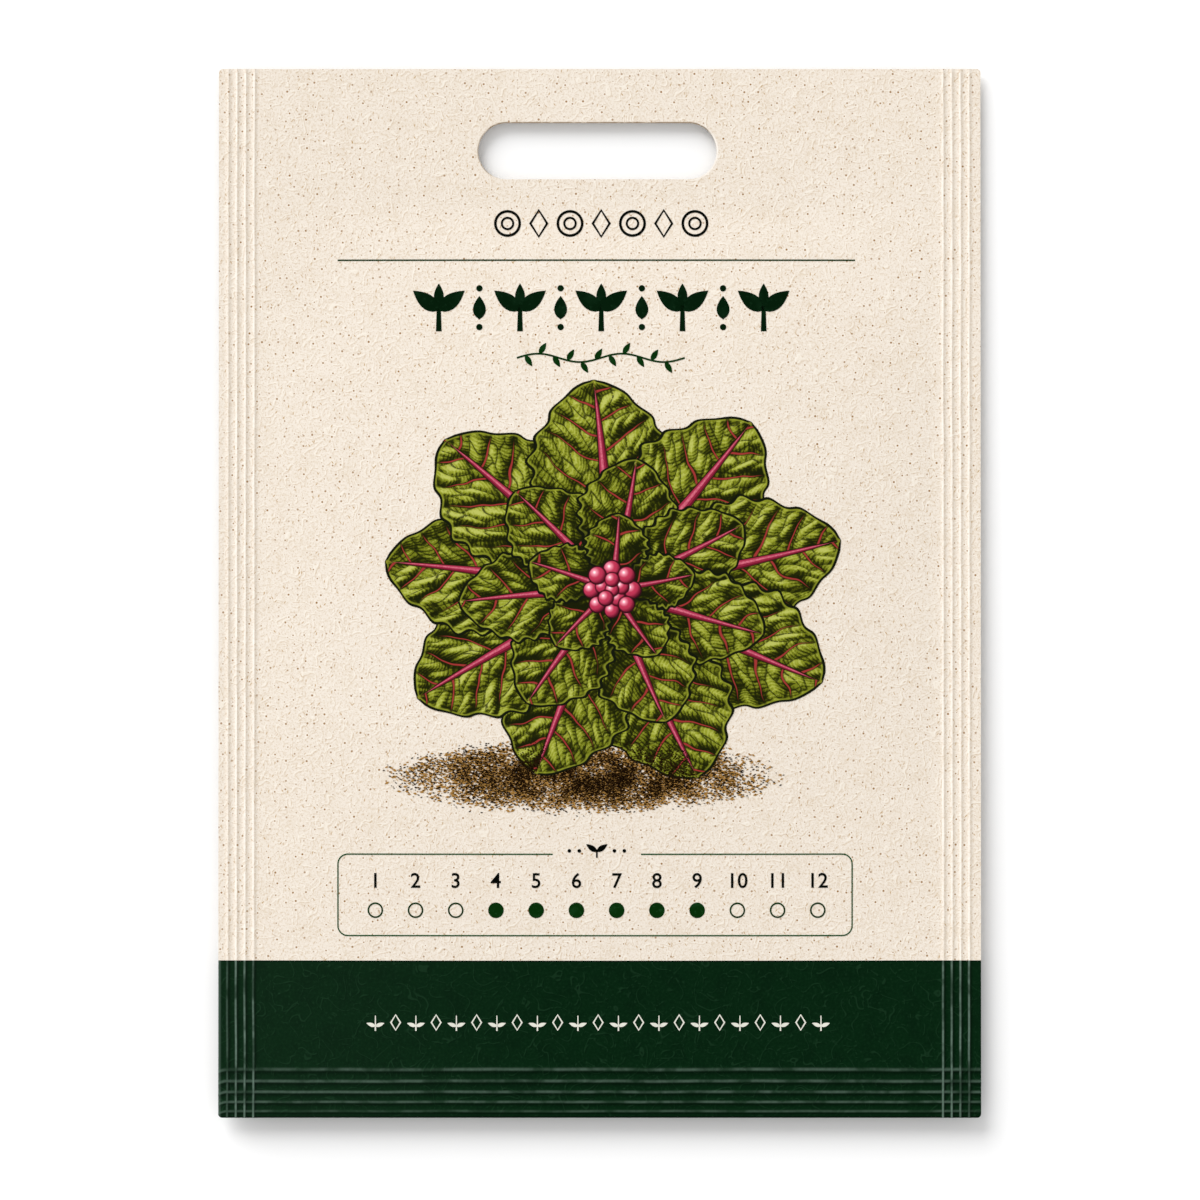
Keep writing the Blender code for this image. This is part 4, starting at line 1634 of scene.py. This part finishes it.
@dataclass
class Calendar:
    """The sowing calendar: a frame, the months as numbers, and a ring or a dot for each."""

    centre_x: float = -0.615 * MM
    centre_y: float = -39.56 * MM
    width: float = 67.38 * MM
    height: float = 10.68 * MM
    corner: float = 1.3 * MM
    line: float = 0.165 * MM
    gap_left: float = -6.15 * MM
    gap_right: float = 5.4 * MM
    months: int = 12
    first_x: float = -29.4 * MM
    pitch: float = 5.27 * MM
    number_y: float = -37.78 * MM
    number_height: float = 1.9 * MM
    digit_share: float = 0.69
    number_weight: float = 0.025 * MM
    mark_y: float = -41.57 * MM
    mark_radius: float = 1.02 * MM
    ring_width: float = 0.21 * MM
    first_sown: int = 3
    last_sown: int = 8

    def make_frame(self, press: Press, ink: bpy.types.Material) -> None:
        """Prints the rounded frame, open at the top where the heading stands."""
        x, y = self.width / 2 - self.corner, self.height / 2 - self.corner
        top = self.centre_y + self.height / 2
        points = straight((self.gap_left, top), (self.centre_x - x, top), 16)
        for side_x, side_y, start in ((-1, 1, 90), (-1, -1, 180), (1, -1, 270), (1, 1, 0)):
            corner = arc(self.centre_x + side_x * x, self.centre_y + side_y * y, self.corner, start, 90, 10)
            points += straight(points[-1], corner[0], 24)[1:-1] + corner
        points += straight(points[-1], (self.gap_right, top), 16)[1:]
        sketch = Sketch()
        sketch.stroke(points, self.line)
        press.lay(sketch.to_object("calendar_frame"), ink)

    def make_heading(self, press: Press, ink: bpy.types.Material) -> None:
        """Prints a small sprout between dots in the heading's place."""
        sketch = Sketch()
        middle = (self.gap_left + self.gap_right) / 2
        y = self.centre_y + self.height / 2 + 0.35 * MM
        sketch.stroke(straight((middle, y - 0.8 * MM), (middle, y + 0.3 * MM), 2), 0.22 * MM)
        for turn in (35, 145):
            sketch.leaf(middle, y, turn, 1.7 * MM, 0.72 * MM)
        for step in (2.3, 3.6):
            for side in (-1, 1):
                sketch.disc(middle + side * step * MM, y + 0.1 * MM, 0.24 * MM, 16)
        press.lay(sketch.to_object("calendar_heading"), ink)

    def make_numbers(self, press: Press, ink: bpy.types.Material) -> None:
        """Prints the months' numbers in a plain upright face."""
        build = bmesh.new()
        for month in range(self.months):
            text = bpy.data.curves.new("month", "FONT")
            text.body = str(month + 1)
            text.align_x = "CENTER"
            text.align_y = "CENTER"
            text.size = self.number_height / self.digit_share
            text.offset = self.number_weight
            guide = add_object("month", text)
            mesh = to_mesh(guide)
            for vert in mesh.vertices:
                vert.co.x += self.first_x + month * self.pitch
                vert.co.y += self.number_y
            build.from_mesh(mesh)
            bpy.data.objects.remove(guide)
        bmesh.ops.remove_doubles(build, verts=build.verts, dist=0.001 * MM)
        for face in build.faces:
            if face.normal.z < 0:
                face.normal_flip()
        sketch = Sketch()
        sketch.build.free()
        sketch.build = build
        press.lay(sketch.to_object("calendar_numbers"), ink)

    def make_marks(self, press: Press, row: Recipe, ink: bpy.types.Material) -> None:
        """Prints the months' marks: a dot in the sowing months and a ring in the others."""
        ring = Sketch()
        ring.ring(0, 0, self.mark_radius - self.ring_width / 2, self.ring_width, 40)
        dot = Sketch()
        dot.disc(0, 0, self.mark_radius, 40)
        art = Sketch().to_object("calendar_marks")
        row.apply_to(art, count=self.months, start_x=self.first_x, row_y=self.mark_y, pitch=self.pitch,
                     first=self.first_sown, last=self.last_sown, motif=press.motif(ring, "mark_ring_motif"),
                     other=press.motif(dot, "mark_dot_motif"), ink=ink)
        press.lay(art, ink)


@dataclass
class SeedHeap:
    """The seeds in the pocket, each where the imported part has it."""

    count: int = 40
    length: float = 4.0 * MM
    width: float = 3.5 * MM
    depth: float = 2.35 * MM
    seed: int = 11

    def make(self, husk: bpy.types.Material) -> None:
        """Makes all the seeds as one piece of lumpy clusters."""
        nodes = [f"seed_{k:02d}" for k in range(1, self.count + 1)]
        mesh = bpy.data.meshes.new("seeds")
        mesh.from_pydata([sum(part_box(node), Vector()) / 2 for node in nodes], [], [])
        heap = add_object("seeds", mesh)
        recipe = Recipe("seed_heap", length=float, width=float, depth=float, seed=int, husk=bpy.types.Material)
        ball = recipe.add("GeometryNodeMeshIcoSphere", {"Radius": 0.5, "Subdivisions": 4}).outputs[0]
        turned = recipe.rotation(recipe.random(0.0, 6.283, recipe.values["seed"]))
        size = recipe.vector(X=recipe.values["length"], Y=recipe.values["width"], Z=recipe.values["depth"])
        seeds = recipe.add("GeometryNodeInstanceOnPoints", {"Points": recipe.geometry, "Instance": ball,
                                                            "Rotation": turned, "Scale": size})
        seeds = recipe.add("GeometryNodeRealizeInstances", {"Geometry": seeds})
        place = recipe.add("GeometryNodeInputPosition")
        lump = recipe.add("ShaderNodeTexNoise", {"Vector": place, "Scale": 0.45 / MM, "Detail": 1.0})
        cork = recipe.add("ShaderNodeTexNoise", {"Vector": place, "Scale": 1.6 / MM, "Detail": 2.0})
        push = recipe.formula("0.0009 * (min(lump, 0.5) - 0.5) + 0.0004 * (cork - 0.62)", lump=lump, cork=cork)
        offset = recipe.add("ShaderNodeVectorMath", {0: recipe.add("GeometryNodeInputNormal"), "Scale": push},
                            operation="SCALE")
        seeds = recipe.add("GeometryNodeSetPosition", {"Geometry": seeds, "Offset": offset})
        recipe.finish(seeds, (recipe.values["husk"], True))
        recipe.apply_to(heap, length=self.length, width=self.width, depth=self.depth, seed=self.seed, husk=husk)
        settle(heap, "seed_husk", *nodes, sharp_angle=180.0)


@dataclass
class Studio:
    """A pale floor, soft light from the upper left, and the camera straight above."""

    floor_size: float = 3.0
    floor_tone: str = "F4F4F4"
    floor_roughness: float = 0.9
    sky_strength: float = 0.74
    sun_strength: float = 3.18
    sun_angle: float = 45.0
    sun_from: tuple[float, float, float] = (-0.95, 1.6, 1.0)
    camera_height: float = 658.0 * MM
    camera_x: float = 0.04 * MM
    camera_y: float = -0.93 * MM
    lens: float = 150.0
    sensor_width: float = 36.0

    def make_floor(self) -> None:
        """Makes the floor that the packet lies on."""
        material, tree, shader = new_finish("matt_white_sweep")
        place = add_node(tree, "ShaderNodeTexCoord").outputs["Object"]
        grain = add_node(tree, "ShaderNodeTexNoise", {"Vector": place, "Scale": 40.0, "Detail": 2.0})
        colour = lay_colours(tree, self.floor_tone, [(formula(tree, "grain * 0.02", grain=grain), "E8E8E8")])
        coat(tree, shader, colour, self.floor_roughness, 0.0)
        sketch = Sketch()
        half = self.floor_size / 2
        sketch.fill([(-half, -half), (half, -half), (half, half), (-half, half)])
        floor = sketch.to_object("floor")
        floor.data.materials.append(material)
        floor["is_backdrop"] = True

    def make_lights(self) -> None:
        """Makes the even sky and the broad soft key."""
        world = bpy.data.worlds.new("even_white_sky")
        bpy.context.scene.world = world
        world.use_nodes = True
        sky = world.node_tree.nodes["Background"]
        sky.inputs["Color"].default_value = (1, 1, 1, 1)
        sky.inputs["Strength"].default_value = self.sky_strength
        lamp = bpy.data.lights.new("soft_key", "SUN")
        lamp.energy = self.sun_strength
        lamp.angle = math.radians(self.sun_angle)
        key = add_object("soft_key", lamp)
        key.rotation_euler = Vector(self.sun_from).to_track_quat("Z", "Y").to_euler()

    def make_camera(self) -> None:
        """Sets the camera straight above, as the photograph has it."""
        lens = bpy.data.cameras.new("overhead")
        lens.lens = self.lens
        lens.sensor_width = self.sensor_width
        camera = add_object("overhead", lens)
        camera.location = (self.camera_x, self.camera_y, self.camera_height)
        bpy.context.scene.camera = camera

    def make(self) -> None:
        """Sets up the whole studio."""
        bpy.context.scene.view_settings.view_transform = "Standard"
        self.make_floor()
        self.make_lights()
        self.make_camera()


def write_sizes() -> None:
    """Works out the CAD box and the visual model's box, and keeps neither."""
    boxes = {"cad": CAD_BOX, "visual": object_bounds()}
    {name: [list(corner) for corner in box] for name, box in boxes.items()}


def main() -> None:
    """Builds the packet from the inside out, prints it, and sets up the studio."""
    logging.basicConfig(level=logging.INFO, format="%(name)s %(message)s")
    Studio().make()
    SeedHeap().make(HuskFinish().material())

    paper = PaperFinish()
    finishes = {"paper": paper.material(), "band": BandFinish(paper).material()}
    edge = CutEdgeFinish().material()
    packet = Packet()
    packet.make_web("back_web", "back_sheet", "back_paper", Face.BACK, finishes, edge)
    front = packet.make_web("front_web", "front_sheet", "front_paper", Face.FRONT, finishes, edge)
    packet.clear_tools()

    black = InkFinish("black_line_ink", "010301", "141C16").material()
    deep_green = InkFinish("deep_green_line_ink", "011705", "12301A").material()
    green = InkFinish("dark_green_line_ink", "042905", "1E4A28").material()
    frame_green = InkFinish("green_frame_ink", "03401A", "1E5A32").material()
    brown = InkFinish("dark_brown_stipple_ink", "1C0F03", "3A2410").material()
    tan = InkFinish("tan_stipple_ink", "9A7238", "B48E56").material()
    pale = InkFinish("off_white_ink", "D9D8CC", "A9B0A2").material()
    press = Press(front)
    alternate = Row(PickRule.ALTERNATE).make_recipe()
    span = Row(PickRule.SPAN).make_recipe()

    rosette = LeafRosette()
    rosette.make_ground(press, tan, brown)
    rosette.make_leaves(press, LeafInkFinish().material())
    rosette.make_berries(press, BerryInkFinish().material())

    ornaments = Ornaments()
    ornaments.make_rule(press, green)
    ornaments.make_name_row(press, alternate, black)
    ornaments.make_title_row(press, alternate, deep_green)
    ornaments.make_vine(press, green)
    ornaments.make_band_row(press, alternate, pale)

    calendar = Calendar()
    calendar.make_frame(press, frame_green)
    calendar.make_heading(press, black)
    calendar.make_numbers(press, black)
    calendar.make_marks(press, span, green)
    press.clear_tools()
    write_sizes()


if __name__ == "__main__":
    main()
